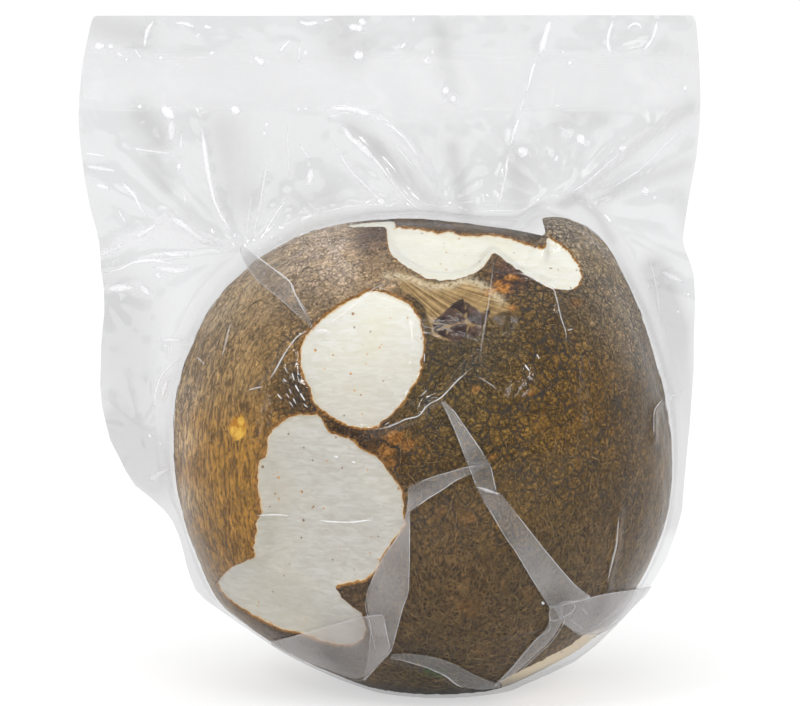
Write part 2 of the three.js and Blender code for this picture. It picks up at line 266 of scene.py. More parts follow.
def sdist(u, v, poly):
    d = seg_dist(u, v, poly, closed=True)
    return np.where(inside(u, v, poly), d, -d)


# ------------------------------------------------------------------ outline radii
def radial(poly, n=1440):
    rel = poly - C[[0, 2]]
    nx = np.roll(rel, -1, axis=0)
    e = nx - rel
    out = np.zeros(n)
    for i, al in enumerate(np.linspace(-math.pi, math.pi, n, endpoint=False)):
        dx, dz = math.cos(al), math.sin(al)
        den = dx * e[:, 1] - dz * e[:, 0]
        den = np.where(abs(den) < 1e-12, 1e-12, den)
        t = (rel[:, 0] * e[:, 1] - rel[:, 1] * e[:, 0]) / den
        s = (rel[:, 0] * dz - rel[:, 1] * dx) / den
        ok = (s >= -1e-6) & (s <= 1 + 1e-6) & (t > 0)
        out[i] = t[ok].max()
    return out


def smoothed(tab, sig):
    n = len(tab)
    k = np.arange(-n // 2, n // 2)
    g = np.exp(-0.5 * (k * 360 / n / sig) ** 2)
    g /= g.sum()
    return np.real(np.fft.ifft(np.fft.fft(tab) * np.fft.fft(np.fft.ifftshift(g))))


RAW = radial(ROOT_OUT)
SOFT = smoothed(RAW, 1.1)
OT = radial(BAG_OUT)
RS = smoothed(SOFT, 14.0)
# the knife left a sharp step beside the shoulder's tip; the film spans it
STEP_AT = 63.8
_deg = np.degrees(np.linspace(-math.pi, math.pi, len(RAW), endpoint=False))
_w = sstep(9.0, 3.5, np.abs(_deg - STEP_AT))
RT = SOFT * (1 - _w) + smoothed(RAW, 0.22) * _w
_top = np.max([np.roll(RT, k) for k in range(-12, 13)], axis=0)
_w = sstep(15.0, 7.0, np.abs(_deg - STEP_AT))
RTF = SOFT * (1 - _w) + np.maximum(smoothed(_top, 1.2), SOFT) * _w


def look(tab, al):
    n = len(tab)
    f = (al + math.pi) / (2 * math.pi) * n
    i = np.floor(f).astype(int)
    w = f - i
    return tab[i % n] * (1 - w) + tab[(i + 1) % n] * w


def surf0(s, off=0.0, tab=None):
    """unit direction -> (unit vector, distance) of the uncut corm"""
    tab = RT if tab is None else tab
    al = np.arctan2(s[:, 2], s[:, 0])
    w = np.exp(-(s[:, 1] / 0.42) ** 2)
    r = look(RS, al) * (1 - w) + look(tab, al) * w + off
    b = np.where(s[:, 1] < 0, BF, BB) + off
    vec = np.stack([r * s[:, 0], b * s[:, 1], r * s[:, 2]], -1)
    t = np.linalg.norm(vec, axis=-1)
    u = vec / t[:, None]
    q = s[:, 1] ** 2
    ww = q / (q + 0.06)
    for dr, wd, h in LUMPS:
        dr = np.array(dr) / np.linalg.norm(dr)
        t = t + ww * h * np.exp(-((s - dr) ** 2).sum(-1) / wd ** 2)
    # the way the surface faces, near enough
    nrm = np.stack([u[:, 0] / r, u[:, 1] / b, u[:, 2] / r], -1)
    nrm /= np.linalg.norm(nrm, axis=-1)[:, None]
    return u, t, nrm


def macro(s, off=0.0, tab=None):
    """the corm with its cuts, no bark: positions, normals, picture coords, flesh distance in px"""
    u, t, nrm = surf0(s, off, tab)
    p = C + u * t[:, None]
    pu, pv = px(p)
    facing = ((EYE - p) * nrm).sum(-1) / np.linalg.norm(EYE - p, axis=-1)
    flesh = np.full(len(s), -60.0)
    t0 = t.copy()
    for k, (poly, n, dist) in enumerate(CUTS):
        sd = sdist(pu, pv, poly)
        sd = np.where(facing > 0.02, sd, -60.0)
        if poly is PATCH_E:
            n_ = np.array(n) / np.linalg.norm(n)
            cap = (0.34 - np.arccos(np.clip(u @ n_, -1, 1))) * 220
            sd = np.where(facing > 0.10, sd, np.minimum(cap, 40))
        flesh = np.maximum(flesh, sd)
        c = u @ (np.array(n) / np.linalg.norm(n))
        tp = np.where(c > 0.3, (dist + off) / np.maximum(c, 0.3), 1e9)
        t = np.minimum(t, t0 - sstep(-2, 12, sd) * np.maximum(0, t0 - tp))
    flesh = np.maximum(flesh, np.where(facing > 0.0, sdist(pu, pv, CREAM), -60.0))
    for dr, rad, dep in BACK_CUTS:
        dr = np.array(dr) / np.linalg.norm(dr)
        ang = np.arccos(np.clip(u @ dr, -1, 1))
        wob = 0.03 * np.sin(7 * u[:, 0] * 3 + 4 * u[:, 2]) + 0.025 * np.sin(23 * u[:, 2] + 9 * u[:, 0])
        sd = (rad + wob - ang) * 220
        flesh = np.maximum(flesh, sd)
        c = u @ dr
        edge = (t0.mean() - dep - 1.0)
        t = np.minimum(t, t0 - sstep(-2, 14, sd) * dep)
    return C + u * t[:, None], nrm, pu, pv, facing, flesh


# ------------------------------------------------------------------ mesh helpers
def build(name, verts_mm, faces, smooth=True):
    me = bpy.data.meshes.new(name)
    v = to_m(verts_mm)
    me.from_pydata(v.tolist(), [], faces.tolist() if isinstance(faces, np.ndarray) else faces)
    me.update()
    if smooth:
        me.polygons.foreach_set("use_smooth", [True] * len(me.polygons))
    ob = bpy.data.objects.new(name, me)
    bpy.context.scene.collection.objects.link(ob)
    return ob


def attr(ob, name, arr):
    a = ob.data.attributes.new(name, 'FLOAT', 'POINT')
    a.data.foreach_set('value', np.asarray(arr, np.float32))


def cattr(ob, name, arr):
    a = ob.data.attributes.new(name, 'FLOAT_COLOR', 'POINT')
    x = np.concatenate([np.asarray(arr, np.float32), np.ones((len(arr), 1), np.float32)], 1)
    a.data.foreach_set('color', x.ravel())


# ------------------------------------------------------------------ corm
def sphere_dirs(n, k):
    g = np.tan(np.linspace(-1, 1, n + 1) * math.pi / 4)
    a, b = np.meshgrid(g, g, indexing='ij')
    one = np.ones_like(a)
    sides = [(one, a, b), (-one, b, a), (b, one, a), (a, -one, b), (a, b, one), (b, a, -one)]
    pts = []
    quads = []
    base = 0
    i, j = np.meshgrid(np.arange(n), np.arange(n), indexing='ij')
    for x, y, z in sides:
        p = np.stack([x, y, z], -1).reshape(-1, 3)
        p /= np.linalg.norm(p, axis=-1)[:, None]
        pts.append(p)
        q = np.stack([i * (n + 1) + j, (i + 1) * (n + 1) + j, (i + 1) * (n + 1) + j + 1, i * (n + 1) + j + 1], -1)
        quads.append(q.reshape(-1, 4) + base)
        base += len(p)
    pts = np.concatenate(pts)
    quads = np.concatenate(quads)
    key = np.round(pts * 1e5).astype(np.int64)
    _, first, inv = np.unique(key, axis=0, return_index=True, return_inverse=True)
    inv = inv.reshape(-1)
    pts = pts[first]
    quads = inv[quads]
    # gather the points towards the front
    x = pts[:, 0] / np.maximum(1 - pts[:, 1], 1e-9) / k
    z = pts[:, 2] / np.maximum(1 - pts[:, 1], 1e-9) / k
    r2 = x * x + z * z
    back = pts[:, 1] > 1 - 1e-9
    y = (r2 - 1) / (r2 + 1)
    out = np.stack([2 * x / (r2 + 1), y, 2 * z / (r2 + 1)], -1)
    out[back] = (0, 1, 0)
    # outward winding
    a, b, c = out[quads[:, 0]], out[quads[:, 1]], out[quads[:, 2]]
    flip = (np.cross(b - a, c - a) * a).sum(-1) < 0
    quads[flip] = quads[flip][:, ::-1]
    return out, quads


def make_corm():
    n = 128
    s, quads = sphere_dirs(n, 1.38)
    p, nrm, u, v, facing, flesh = macro(s)
    front = facing > 0.0
    ang = np.degrees(np.arctan2(p[:, 2] - C[2], p[:, 0] - C[0]))
    win = sstep(-18, -7, p[:, 1]) * sstep(60, 44, p[:, 1])
    under = np.clip((126.6 - p[:, 2]) / 4.6, 0, 1) * sstep(68.5, 64.6, ang) * sstep(59.0, 62.5, ang) * win
    tip = sstep(61.6, 63.0, ang) * sstep(64.1, 63.5, ang) * np.clip((p[:, 2] - 124.0) / 2.4, 0, 1) * win
    p[:, 0] += 4.1 * under - 0.75 * tip
    p[:, 2] -= 1.0 * under

    # ragged edge of each cut, as far across a slanting face as across a facing one
    wob = 1.3 * fbm(p * 0.55, 2, 3) + 1.3 * fbm(p * 1.3, 2, 9)
    flesh = flesh / np.where(front, np.clip(facing, 0.22, 1), 1.0) + wob

    # ---- bark
    warp = np.stack([fbm(p * 0.11, 2, 21), fbm(p * 0.11, 2, 22), fbm(p * 0.11, 2, 23)], -1)
    q = p + warp * 3.6
    d1, d2, cid = voronoi(q * np.array([0.27, 0.27, 0.22]), 5)
    cell = sstep(0.0, 0.13, d2 - d1)
    e1, e2, cid2 = voronoi(q * np.array([0.62, 0.62, 0.50]) + 7.3, 15)
    cell2 = sstep(0.0, 0.20, e2 - e1)
    open_ = sstep(-0.45, 0.35, fbm(p * 0.07, 2, 27))
    # long fibres that run up and down the flanks
    fz = np.array([0.85, 0.85, 0.085])
    fib = 1 - np.abs(fbm((p + warp * 4) * fz, 3, 31)) * 2.2
    fib = np.clip(fib, 0, 1)
    flank = np.clip(sstep(300, 225, u) + 0.55 * sstep(636, 676, u) * sstep(280, 330, v), 0, 1)
    low = sstep(440, 620, v) * sstep(330, 400, u)
    # the picture shows the front; behind it the skin goes on in the same kinds of patch
    fs = sstep(-0.55, -0.02, facing)
    behind = np.clip(sstep(0.0, 0.20, fbm(p * 0.022, 2, 40)) + sstep(44, 60, np.abs(p[:, 0] - C[0])), 0, 1)
    flank = np.clip(fs * flank + (1 - fs) * 0.92 * behind, 0, 1)
    low = fs * low + (1 - fs) * 0.85 * sstep(44, 20, p[:, 2])
    amp_cell = (1 - flank) * (1 - 0.55 * low)
    big = fbm(p * 0.05, 3, 51)
    dep = (amp_cell * (0.22 * (1 - cell) + 0.10 * (1 - cell2))
           + flank * (0.42 * (1 - fib) + 0.12 * (1 - cell2))
           + low * 0.30 * (1 - np.clip(1 - np.abs(fbm(q * 0.75, 3, 61)) * 2.4, 0, 1))
           + 0.14 * (fbm(p * 1.3, 2, 71) + 1) * 0.5)
    dep += 0.35 * (big * 0.5 + 0.5)
    peel = np.where(front, sdist(u, v, PEEL), -60.0)
    plate = np.where(front, sdist(u, v, PLATE), -60.0) + 1.2 * fbm(p * 0.7, 2, 81)
    on_peel = sstep(-2, 2, peel)
    dep = dep * (1 - 0.7 * on_peel) + on_peel * 0.45
    dep = np.where(plate > 0, np.minimum(dep, 0.30), dep)
    # flesh: a smooth knife face below the skin's thickness
    grain = 0.05 * fbm(p * np.array([0.5, 0.5, 2.2]), 2, 91)
    inside_f = sstep(-0.8, 1.4, flesh)
    lip = np.exp(-((flesh + 2.5) / 2.2) ** 2)
    dep = dep * (1 - inside_f) + inside_f * (1.05 + grain)
    dep -= 0.18 * lip * (1 - inside_f)
    bud = np.where(front, sdist(u, v, BUD), -60.0)
    dep = dep - 0.45 * sstep(-1.5, 4, bud)
    dep = np.maximum(dep, 0.0)
    p = p - nrm * dep[:, None]
    # the trimmed base
    ground = p[:, 2] < 0.75
    p[:, 2] = np.where(ground, 0.75 + 0.12 * (fbm(p * 0.6, 2, 95) * 0.5 + 0.5), p[:, 2])
    ob = build("taro_corm_skin", p, quads)

    # ---- paint
    tint = np.zeros((len(p), 3)); wsum = np.full(len(p), 0.06)
    two = sstep(-0.25, 0.25, fbm(p * 0.03, 2, 55))[:, None]
    tint += (np.array(srgb(120, 96, 58)) * two + np.array(srgb(84, 64, 40)) * (1 - two)) * 0.06
    for cu, cv, rad, col in ZONES:
        w = np.exp(-(((u - cu) / rad) ** 2 + ((v - cv) / rad) ** 2)) * fs
        tint += w[:, None] * np.array(srgb(*col))
        wsum += w
    tint /= wsum[:, None]
    vary = fbm(p * 0.045, 3, 101)[:, None]
    alt = np.where(vary > 0, np.array([1.16, 1.10, 0.92]), np.array([0.86, 0.88, 1.0]))
    tint *= 1 + (alt - 1) * np.abs(vary) * 1.2
    tint *= (0.86 + 0.28 * cid)[:, None]
    crack = amp_cell * 0.30 * (1 - cell) * open_ + flank * 0.30 * (1 - fib)
    orange = np.zeros(len(p))
    for cu, cv, ru, rv, k in ORANGE:
        d = ((u - cu) / ru) ** 2 + ((v - cv) / rv) ** 2
        orange = np.maximum(orange, k * sstep(1.25, 0.7, d + 0.9 * fbm(p * 0.9, 2, 111)) * front)
    leaf = np.zeros(len(p))
    for cu, cv, ru, rv in LEAF:
        d = ((u - cu) / ru) ** 2 + ((v - cv) / rv) ** 2
        leaf = np.maximum(leaf, sstep(1.2, 0.7, d + 0.5 * fbm(p * 1.1, 2, 121)) * front)
    vein = np.full(len(p), 99.0)
    for line in VEINS:
        vein = np.minimum(vein, seg_dist(u, v, line))
    vein = np.where(front, vein, 99.0)
    # the fan of torn fibres, by its angle about the point it spreads from
    attr(ob, "fan", np.arctan2(v - 258, u - 378) * 22 + 0.010 * np.hypot(v - 258, u - 378))
    attr(ob, "veil", np.where(front, np.exp(-(seg_dist(u, v, VEIL) / 3.4) ** 2), 0.0))
    # painted shade: the flesh darkens towards the bottom of the front view
    attr(ob, "flesh_painted_shade", np.where(front, sstep(262, 435, v), 0.6))
    en = np.array(CUTS[4][1]) / np.linalg.norm(CUTS[4][1])
    to = (p - C) / np.linalg.norm(p - C, axis=1)[:, None]
    attr(ob, "cream", sstep(0.62, 0.40, np.arccos(np.clip(to @ en, -1, 1))))
    attr(ob, "calm", np.where(front, sstep(440, 370, u) * sstep(345, 285, v) + 0.6 * sstep(560, 590, u) * sstep(300, 255, v), 0.2))
    cattr(ob, "tint", np.clip(tint, 0, 1))
    attr(ob, "flesh", flesh)
    attr(ob, "crack", np.clip(crack, 0, 1))
    attr(ob, "flank", np.clip(flank, 0, 1))
    attr(ob, "low", np.clip(low, 0, 1))
    attr(ob, "peel", peel)
    attr(ob, "plate", plate)
    attr(ob, "vein", vein)
    attr(ob, "bud", bud)
    attr(ob, "orange", orange)
    attr(ob, "leaf", leaf)
    # painted shade: 'ground' marks the skin within 9 mm of the floor for darkening
    attr(ob, "ground", sstep(9, 0.6, p[:, 2]))
    return ob


# ------------------------------------------------------------------ film surfaces
def bow(x, z, width):
    k = np.clip((width - 6) / 25, 0, 1)
    return k * (1.6 * np.sin(x / 17 + 0.6) + 1.1 * np.sin(x / 9.5 - z / 23 + 2.0))


# creases over the corm, in the picture's frame: points, height mm, reach px
RIDGES = [
    ([(238, 246), (250, 250), (262, 260), (275, 270), (285, 276), (292, 285), (296, 297), (303, 310), (310, 322), (315, 329)], 1.3, 11),
    ([(315, 329), (300, 334), (292, 343), (284, 355), (277, 368), (270, 380), (265, 386)], 0.8, 9),
    ([(265, 386), (255, 388), (247, 391)], 0.6, 7),
    ([(265, 386), (268, 387), (271, 389)], 0.3, 7),
    ([(320, 332), (330, 323), (345, 312), (360, 300), (375, 288), (388, 283), (400, 281)], 0.6, 8),
    ([(364, 431), (385, 428), (404, 420), (420, 416), (428, 404), (440, 399), (457, 381), (471, 368), (480, 361)], 1.0, 10),
    ([(475, 375), (485, 381), (500, 391)], 0.4, 6),
    ([(501, 276), (515, 273), (524, 274), (538, 282), (553, 287), (557, 301), (561, 320), (566, 331), (566, 352)], 0.7, 8),
    ([(566, 331), (573, 329)], 0.4, 5),
    ([(665, 396), (653, 410), (653, 440)], 0.7, 7),
    ([(680, 391), (665, 400)], 0.7, 7),
    ([(619, 507), (616, 545), (609, 572), (606, 591)], 0.7, 7),
    ([(496, 252), (492, 275), (489, 300), (484, 330), (481, 350), (478, 372)], 0.4, 6),
    ([(253, 515), (274, 514), (295, 516)], 0.35, 5),
    ([(315, 520), (335, 522), (355, 522), (378, 519)], 0.45, 5),
    ([(496, 637), (520, 632), (545, 627)], 0.4, 5),
    ([(388, 657), (404, 660), (425, 666), (446, 675), (457, 685), (476, 690)], 0.6, 7),
    ([(541, 216), (555, 208), (570, 205), (582, 206), (590, 213), (598, 221)], 0.5, 8),
]
# streaks in the flap: points, height mm (sign: towards or away), reach px
STREAKS = [
    ([(200, 116), (203, 143), (209, 168), (216, 198), (228, 229), (239, 246)], 1.5, 9),
    ([(338, 122), (355, 141), (380, 164), (405, 194), (426, 218)], 1.6, 10),
    ([(329, 143), (338, 120), (350, 114), (371, 118), (388, 126), (418, 160), (447, 214)], 1.2, 11),
    ([(550, 17), (544, 42), (536, 63), (527, 84), (517, 122), (510, 147), (502, 190)], 1.1, 8),
    ([(100, 252), (136, 231), (157, 223), (165, 215), (200, 232), (238, 246)], 1.0, 9),
    ([(102, 268), (150, 262), (200, 258), (238, 250)], 0.8, 8),
    ([(266, 185), (258, 210), (254, 244)], 0.8, 7),
    ([(300, 196), (285, 222), (262, 252)], 0.7, 7),
    ([(649, 122), (620, 143), (578, 181), (548, 204)], 1.0, 8),
    ([(683, 101), (650, 132), (607, 168), (560, 206)], 1.1, 9),
    ([(690, 150), (645, 178), (600, 206)], 0.9, 8),
    ([(120, 150), (160, 190), (205, 226), (236, 246)], 0.9, 9),
    ([(84, 175), (140, 205), (200, 235), (236, 248)], 0.8, 9),
    ([(450, 130), (452, 165), (448, 210)], 0.7, 7),
    ([(480, 128), (482, 165), (486, 222)], 0.6, 7),
    ([(156, 17), (146, 38), (148, 55), (152, 66)], 0.9, 7),
    ([(618, 19), (607, 46), (620, 53), (645, 46), (657, 21)], 0.9, 7),
    ([(289, 40), (298, 46), (299, 54), (290, 60), (281, 54), (282, 44), (289, 40)], 0.6, 5),
    ([(359, 20), (357, 40), (360, 60)], 0.6, 6),
    ([(310, 165), (311, 195)], 0.8, 5),
    ([(169, 112), (168, 134)], 0.7, 5),
    ([(120, 300), (123, 350), (129, 400), (142, 450)], 0.6, 13),
    ([(152, 325), (148, 380), (153, 430), (164, 480)], 0.6, 11),
    ([(106, 330), (108, 380), (114, 425)], 0.4, 10),
    ([(165, 350), (168, 372), (160, 395)], 0.9, 6),
    ([(688, 262), (660, 250), (632, 236), (612, 236)], 0.8, 8),
    ([(694, 300), (670, 292), (645, 286)], 0.6, 8),
]


# broad darker places of the film, painted shade that along the side margins also stands for doubled film, then broad
# whitened places, painted highlights: line, reach px, amount
SHADES = [
    ([(98, 24), (138, 34)], 18, .7), ([(140, 112), (160, 140)], 12, .7), ([(150, 160), (168, 186)], 9, .6),
    ([(225, 130), (240, 200)], 20, .6), ([(335, 28), (350, 50)], 20, .6), ([(352, 125), (400, 165), (435, 205)], 9, .6),
    ([(300, 205), (330, 200)], 16, .4), ([(375, 150), (398, 180)], 6, .4), ([(440, 30), (452, 95)], 9, .5),
    ([(452, 148), (466, 214)], 8, .8), ([(515, 160), (520, 205)], 12, .5), ([(560, 120), (600, 118)], 12, .4),
    ([(690, 108), (640, 142), (590, 186), (566, 204)], 6, .8), ([(688, 165), (640, 182), (600, 200)], 7, .6),
    ([(680, 195), (690, 225)], 9, .5), ([(106, 292), (116, 380), (125, 450)], 30, .62),
    ([(138, 300), (147, 380), (150, 450)], 22, .38), ([(150, 450), (165, 500), (190, 570), (215, 600)], 16, 1.3),
    ([(655, 270), (676, 330), (684, 430), (676, 520)], 14, 1.5), ([(118, 425), (130, 456), (152, 486)], 15, 1.1), ([(600, 640), (560, 672)], 12, .5),
    ([(560, 205), (578, 200), (597, 215), (612, 240)], 5, .9), ([(250, 262), (300, 228), (380, 208), (470, 212)], 7, .35),
]
PAINTED_HIGHLIGHTS = [
    ([(100, 255), (128, 243), (160, 224)], 5, .45), ([(166, 216), (200, 238), (232, 247)], 5, .8),
    ([(120, 240), (170, 232), (205, 243)], 7, .55), ([(104, 289), (137, 287)], 4, .7), ([(139, 284), (151, 296)], 3, .7),
    ([(168, 112), (173, 140)], 4, .5), ([(93, 46), (125, 52)], 5, .45),
    ([(330, 112), (350, 108), (375, 117), (405, 138), (430, 170)], 4.5, .6), ([(345, 165), (375, 198)], 6, .35),
    ([(300, 216), (318, 214)], 5, .45), ([(445, 92), (455, 99)], 5, .6), ([(610, 165), (640, 145), (665, 125)], 5, .4),
    ([(580, 190), (620, 160)], 4, .35), ([(160, 340), (184, 340)], 4, .45), ([(168, 380), (162, 398)], 4, .6),
    ([(300, 75), (370, 92)], 12, .22), ([(160, 80), (230, 90)], 12, .15), ([(600, 640), (622, 622), (640, 604)], 9, .40),
    ([(150, 478), (172, 468)], 5, .3),
]


# where painted highlights go: the film keeps its gloss and relief there; line, reach px, amount
GLINTS = [
    ([(290, 372), (302, 392), (306, 404)], 13, 1.1), ([(426, 335), (428, 380), (428, 410)], 8, .7), ([(436, 300), (448, 330)], 9, .12),
    ([(522, 352), (530, 372)], 6, .45), ([(440, 400), (480, 372)], 12, .35), ([(374, 432), (410, 424)], 7, .4),
]


def soft_field(u, v, items):
    h = np.zeros(u.shape)
    for pts, reach, k in items:
        h = h + k * np.exp(-(seg_dist(u, v, pts) / reach) ** 2)
    return h


def light_and_shade_rays(u, v):
    """painted highlights and painted shade: light and dark rays that spread from where the film leaves the corm"""
    h = np.zeros(u.shape)
    for cu, cv, a0, a1, n, ph, amp, reach in ((238, 246, -175, -15, 15, 0.3, 0.55, 110), (426, 214, -165, -20, 13, 1.1, 0.45, 85),
                                              (560, 206, -150, -5, 12, 2.0, 0.60, 120), (140, 420, 100, 250, 7, 0.7, 0.15, 60)):
        d = np.hypot(u - cu, v - cv)
        a = np.degrees(np.arctan2(v - cv, u - cu))
        a = np.where(a < a0, a + 360, a)
        t = (a - a0) / (a1 - a0)
        w = sstep(0.0, 0.08, t) * sstep(1.0, 0.92, t) * sstep(8, 30, d) * np.exp(-(d / reach) ** 2)
        x = t * n + ph + 0.5 * np.sin(3.1 * t * n + ph) + 0.12 * np.sin(d / 17 + ph)
        f = x - np.floor(x)
        h = h + amp * w * (sstep(0.0, 0.12, f) * (1 - f) * 2.0 - 0.8)
    return h


def ridge_field(u, v, items, cusp=True):
    h = np.zeros(u.shape)
    for pts, hi, wd in items:
        d = seg_dist(u, v, pts)
        k = np.clip(1 - d / wd, 0, 1)
        h += hi * (k ** 1.7 if cusp else k * k * (3 - 2 * k))
    return h


def fan_field(u, v):
    """soft fans of pleats that start where the film leaves the corm"""
    h = np.zeros(u.shape)
    for cu, cv, n, ph, amp, reach in ((238, 246, 17, 0.4, 0.75, 120), (426, 214, 21, 1.3, 0.55, 95),
                                      (560, 204, 19, 2.2, 0.70, 120), (688, 250, 13, 0.9, 0.5, 60),
                                      (330, 226, 15, 0.1, 0.45, 80), (140, 430, 13, 2.0, 0.6, 80),
                                      (100, 290, 11, 0.7, 0.6, 70)):
        d = np.hypot(u - cu, v - cv)
        a = np.arctan2(v - cv, u - cu)
        w = sstep(0, 18, d) * np.exp(-(d / reach) ** 2)
        saw = np.abs(((a * n / (2 * math.pi) * 2 + ph + 0.35 * np.sin(3 * a + ph * 5)) % 2) - 1)
        h += amp * w * (saw ** 1.6) * np.minimum(1, d / 40)
    return h


def film_grid(side, na, nh, nt, nf):
    al = np.linspace(-math.pi, math.pi, na, endpoint=False)
    th_end = math.radians(81)
    th = th_end * (np.arange(1, nh + 1) / nh)
    T, A = np.meshgrid(th, al, indexing='ij')
    s = np.stack([np.sin(T) * np.cos(A), side * np.cos(T), np.sin(T) * np.sin(A)], -1).reshape(-1, 3)
    p, nrm, *_ = macro(s, tab=RTF)
    p = p + nrm * 0.42
    p = p.reshape(nh, na, 3)
    p0, n0, *_ = macro(np.array([[0.0, side, 0.0]]), tab=RTF)
    top = p0 + n0 * 0.42
    r0 = look(RTF, al)
    ro = np.maximum(look(OT, al), r0 + 1.2)
    w = ro - r0
    rs = r0 + np.minimum(4.5, 0.55 * w)
    wide = np.clip((w - 2.5) / 5.5, 0, 1)
    seam = 0.2
    depth = BF if side < 0 else BB
    # half-plane control points
    rr = np.hypot(p[-1, :, 0] - C[0], p[-1, :, 2] - C[2])
    yy = np.abs(p[-1, :, 1])
    kq = max(1, int(nh * 9 / 81))
    rq = np.hypot(p[-1 - kq, :, 0] - C[0], p[-1 - kq, :, 2] - C[2])
    yq = np.abs(p[-1 - kq, :, 1])
    thq = th[-1 - kq]
    slope = r0 * np.cos(thq) / (depth * np.sin(thq))
    lift = wide * np.maximum(0, rq + (yq - yy) * slope - rr)
    for j in range(kq + 1):
        k = sstep(0, 1, 1 - j / kq)
        p[-1 - j, :, 0] += np.cos(al) * lift * k
        p[-1 - j, :, 2] += np.sin(al) * lift * k
    rr = rr + lift
    mixf = lambda a, b, t: a + (b - a) * t
    ctrl_r = np.stack([rr, r0 + 0.35 * (rs - r0) + 0.3, rs, mixf(rs, ro, 0.33), mixf(rs, ro, 0.67), ro])
    ctrl_y = np.stack([yy, np.full(na, 4.2), seam + mixf(2.4, 0.5, wide), seam + mixf(1.6, 0.3, wide),
                       seam + mixf(0.8, 0.1, wide), np.full(na, seam)])
    knots = [0.0, nt * 0.5, nt, nt + nf * 0.33, nt + nf * 0.67, nt + nf]
    ks = np.arange(1, nt + nf + 1)
    R = np.empty((nt + nf + 1, na)); Y = np.empty_like(R)
    R[0], Y[0] = rr, yy
    for c in range(na):
        R[1:, c] = np.interp(ks, knots, ctrl_r[:, c])
        Y[1:, c] = np.interp(ks, knots, ctrl_y[:, c])
    for _ in range(6):
        R[1:-1] = 0.5 * R[1:-1] + 0.25 * (R[:-2] + R[2:])
        Y[1:-1] = 0.5 * Y[1:-1] + 0.25 * (Y[:-2] + Y[2:])
    X = R * np.cos(al) + C[0]
    Z = R * np.sin(al) + C[2]
    width = R - r0
    mid = bow(X - C[0], Z - C[2], width)
    flapw = np.clip(width / 6.0, 0, 1) * np.clip((np.minimum(w, 40) - 3) / 10, 0, 1)
    pu, pv = px(np.stack([X, np.zeros_like(X), Z], -1))
    wav = ridge_field(pu, pv, STREAKS) + fan_field(pu, pv)
    small = 0.35 * fbm(np.stack([X * 0.09, Z * 0.09, np.zeros_like(X)], -1).reshape(-1, 3), 3, 7).reshape(X.shape)
    big = 1.2 * fbm(np.stack([X * 0.035, Z * 0.035, np.zeros_like(X) + 3], -1).reshape(-1, 3), 2, 8).reshape(X.shape)
    mid = mid + flapw * (-0.85 * wav + small + big)
    own = flapw * 0.25 * (fbm(np.stack([X * 0.16, Z * 0.16, np.zeros_like(X) + side * 5], -1).reshape(-1, 3), 2, 9).reshape(X.shape) + 1)
    band = sstep(52, 58, pv) * sstep(112, 104, pv - 14 * np.exp(-((pu - 400) / 70) ** 2)) * flapw
    own = own * (1 - band) + 0.03 * band
    y = mid + side * (Y + own)
    q = np.stack([X, y, Z], -1)
    grid = np.concatenate([p, q[1:]], 0)
    flat = np.concatenate([np.zeros((nh, na)), flapw[1:]], 0)
    bandg = np.concatenate([np.zeros((nh, na)), band[1:]], 0)
    return top, grid, flat, bandg


def grid_normals(top, g, side):
    nr, na, _ = g.shape
    before = np.concatenate([np.repeat(top[None], na, 1).reshape(1, na, 3), g[:-1]], 0)
    after = np.concatenate([g[1:], g[-1:]], 0)
    along = after - before
    across = np.roll(g, -1, 1) - np.roll(g, 1, 1)
    n = np.cross(along, across)
    if side > 0:
        n = -n
    return n / (np.linalg.norm(n, axis=-1)[..., None] + 1e-12)


def film_faces(nr, na, side):
    at = lambda k, i: 1 + k * na + (i % na)
    i = np.arange(na)
    tris = np.stack([np.zeros(na, int), at(0, i), at(0, i + 1)], -1)
    K, I = np.meshgrid(np.arange(nr - 1), i, indexing='ij')
    K = K.ravel(); I = I.ravel()
    quads = np.stack([at(K, I), at(K + 1, I), at(K + 1, I + 1), at(K, I + 1)], -1)
    if side > 0:
        tris = tris[:, ::-1]
        quads = quads[:, ::-1]
    return tris.tolist() + quads.tolist()


def unit_dirs(p):
    """the parameter direction of points near the corm"""
    q = p - C
    al = np.arctan2(q[:, 2], q[:, 0])
    rho = np.hypot(q[:, 0], q[:, 2])
    a = rho / look(RS, al)
    b = q[:, 1] / np.where(q[:, 1] < 0, BF, BB)
    sy = b / np.hypot(a, b)
    cs = np.sqrt(np.clip(1 - sy ** 2, 0, 1))
    return np.stack([cs * np.cos(al), sy, cs * np.sin(al)], -1)


def back_folds():
    rng = np.random.default_rng(11)
    out = []
    for _ in range(17):
        a = rng.normal(size=3); a[1] = abs(a[1]) + 0.2; a /= np.linalg.norm(a)
        b = rng.normal(size=3); b -= a * (a @ b); b /= np.linalg.norm(b)
        out.append((a, b, np.cross(a, b), rng.uniform(0.22, 0.62), rng.uniform(0, 6), rng.uniform(0.4, 1.1)))
    return out


BACK_FOLDS = back_folds()


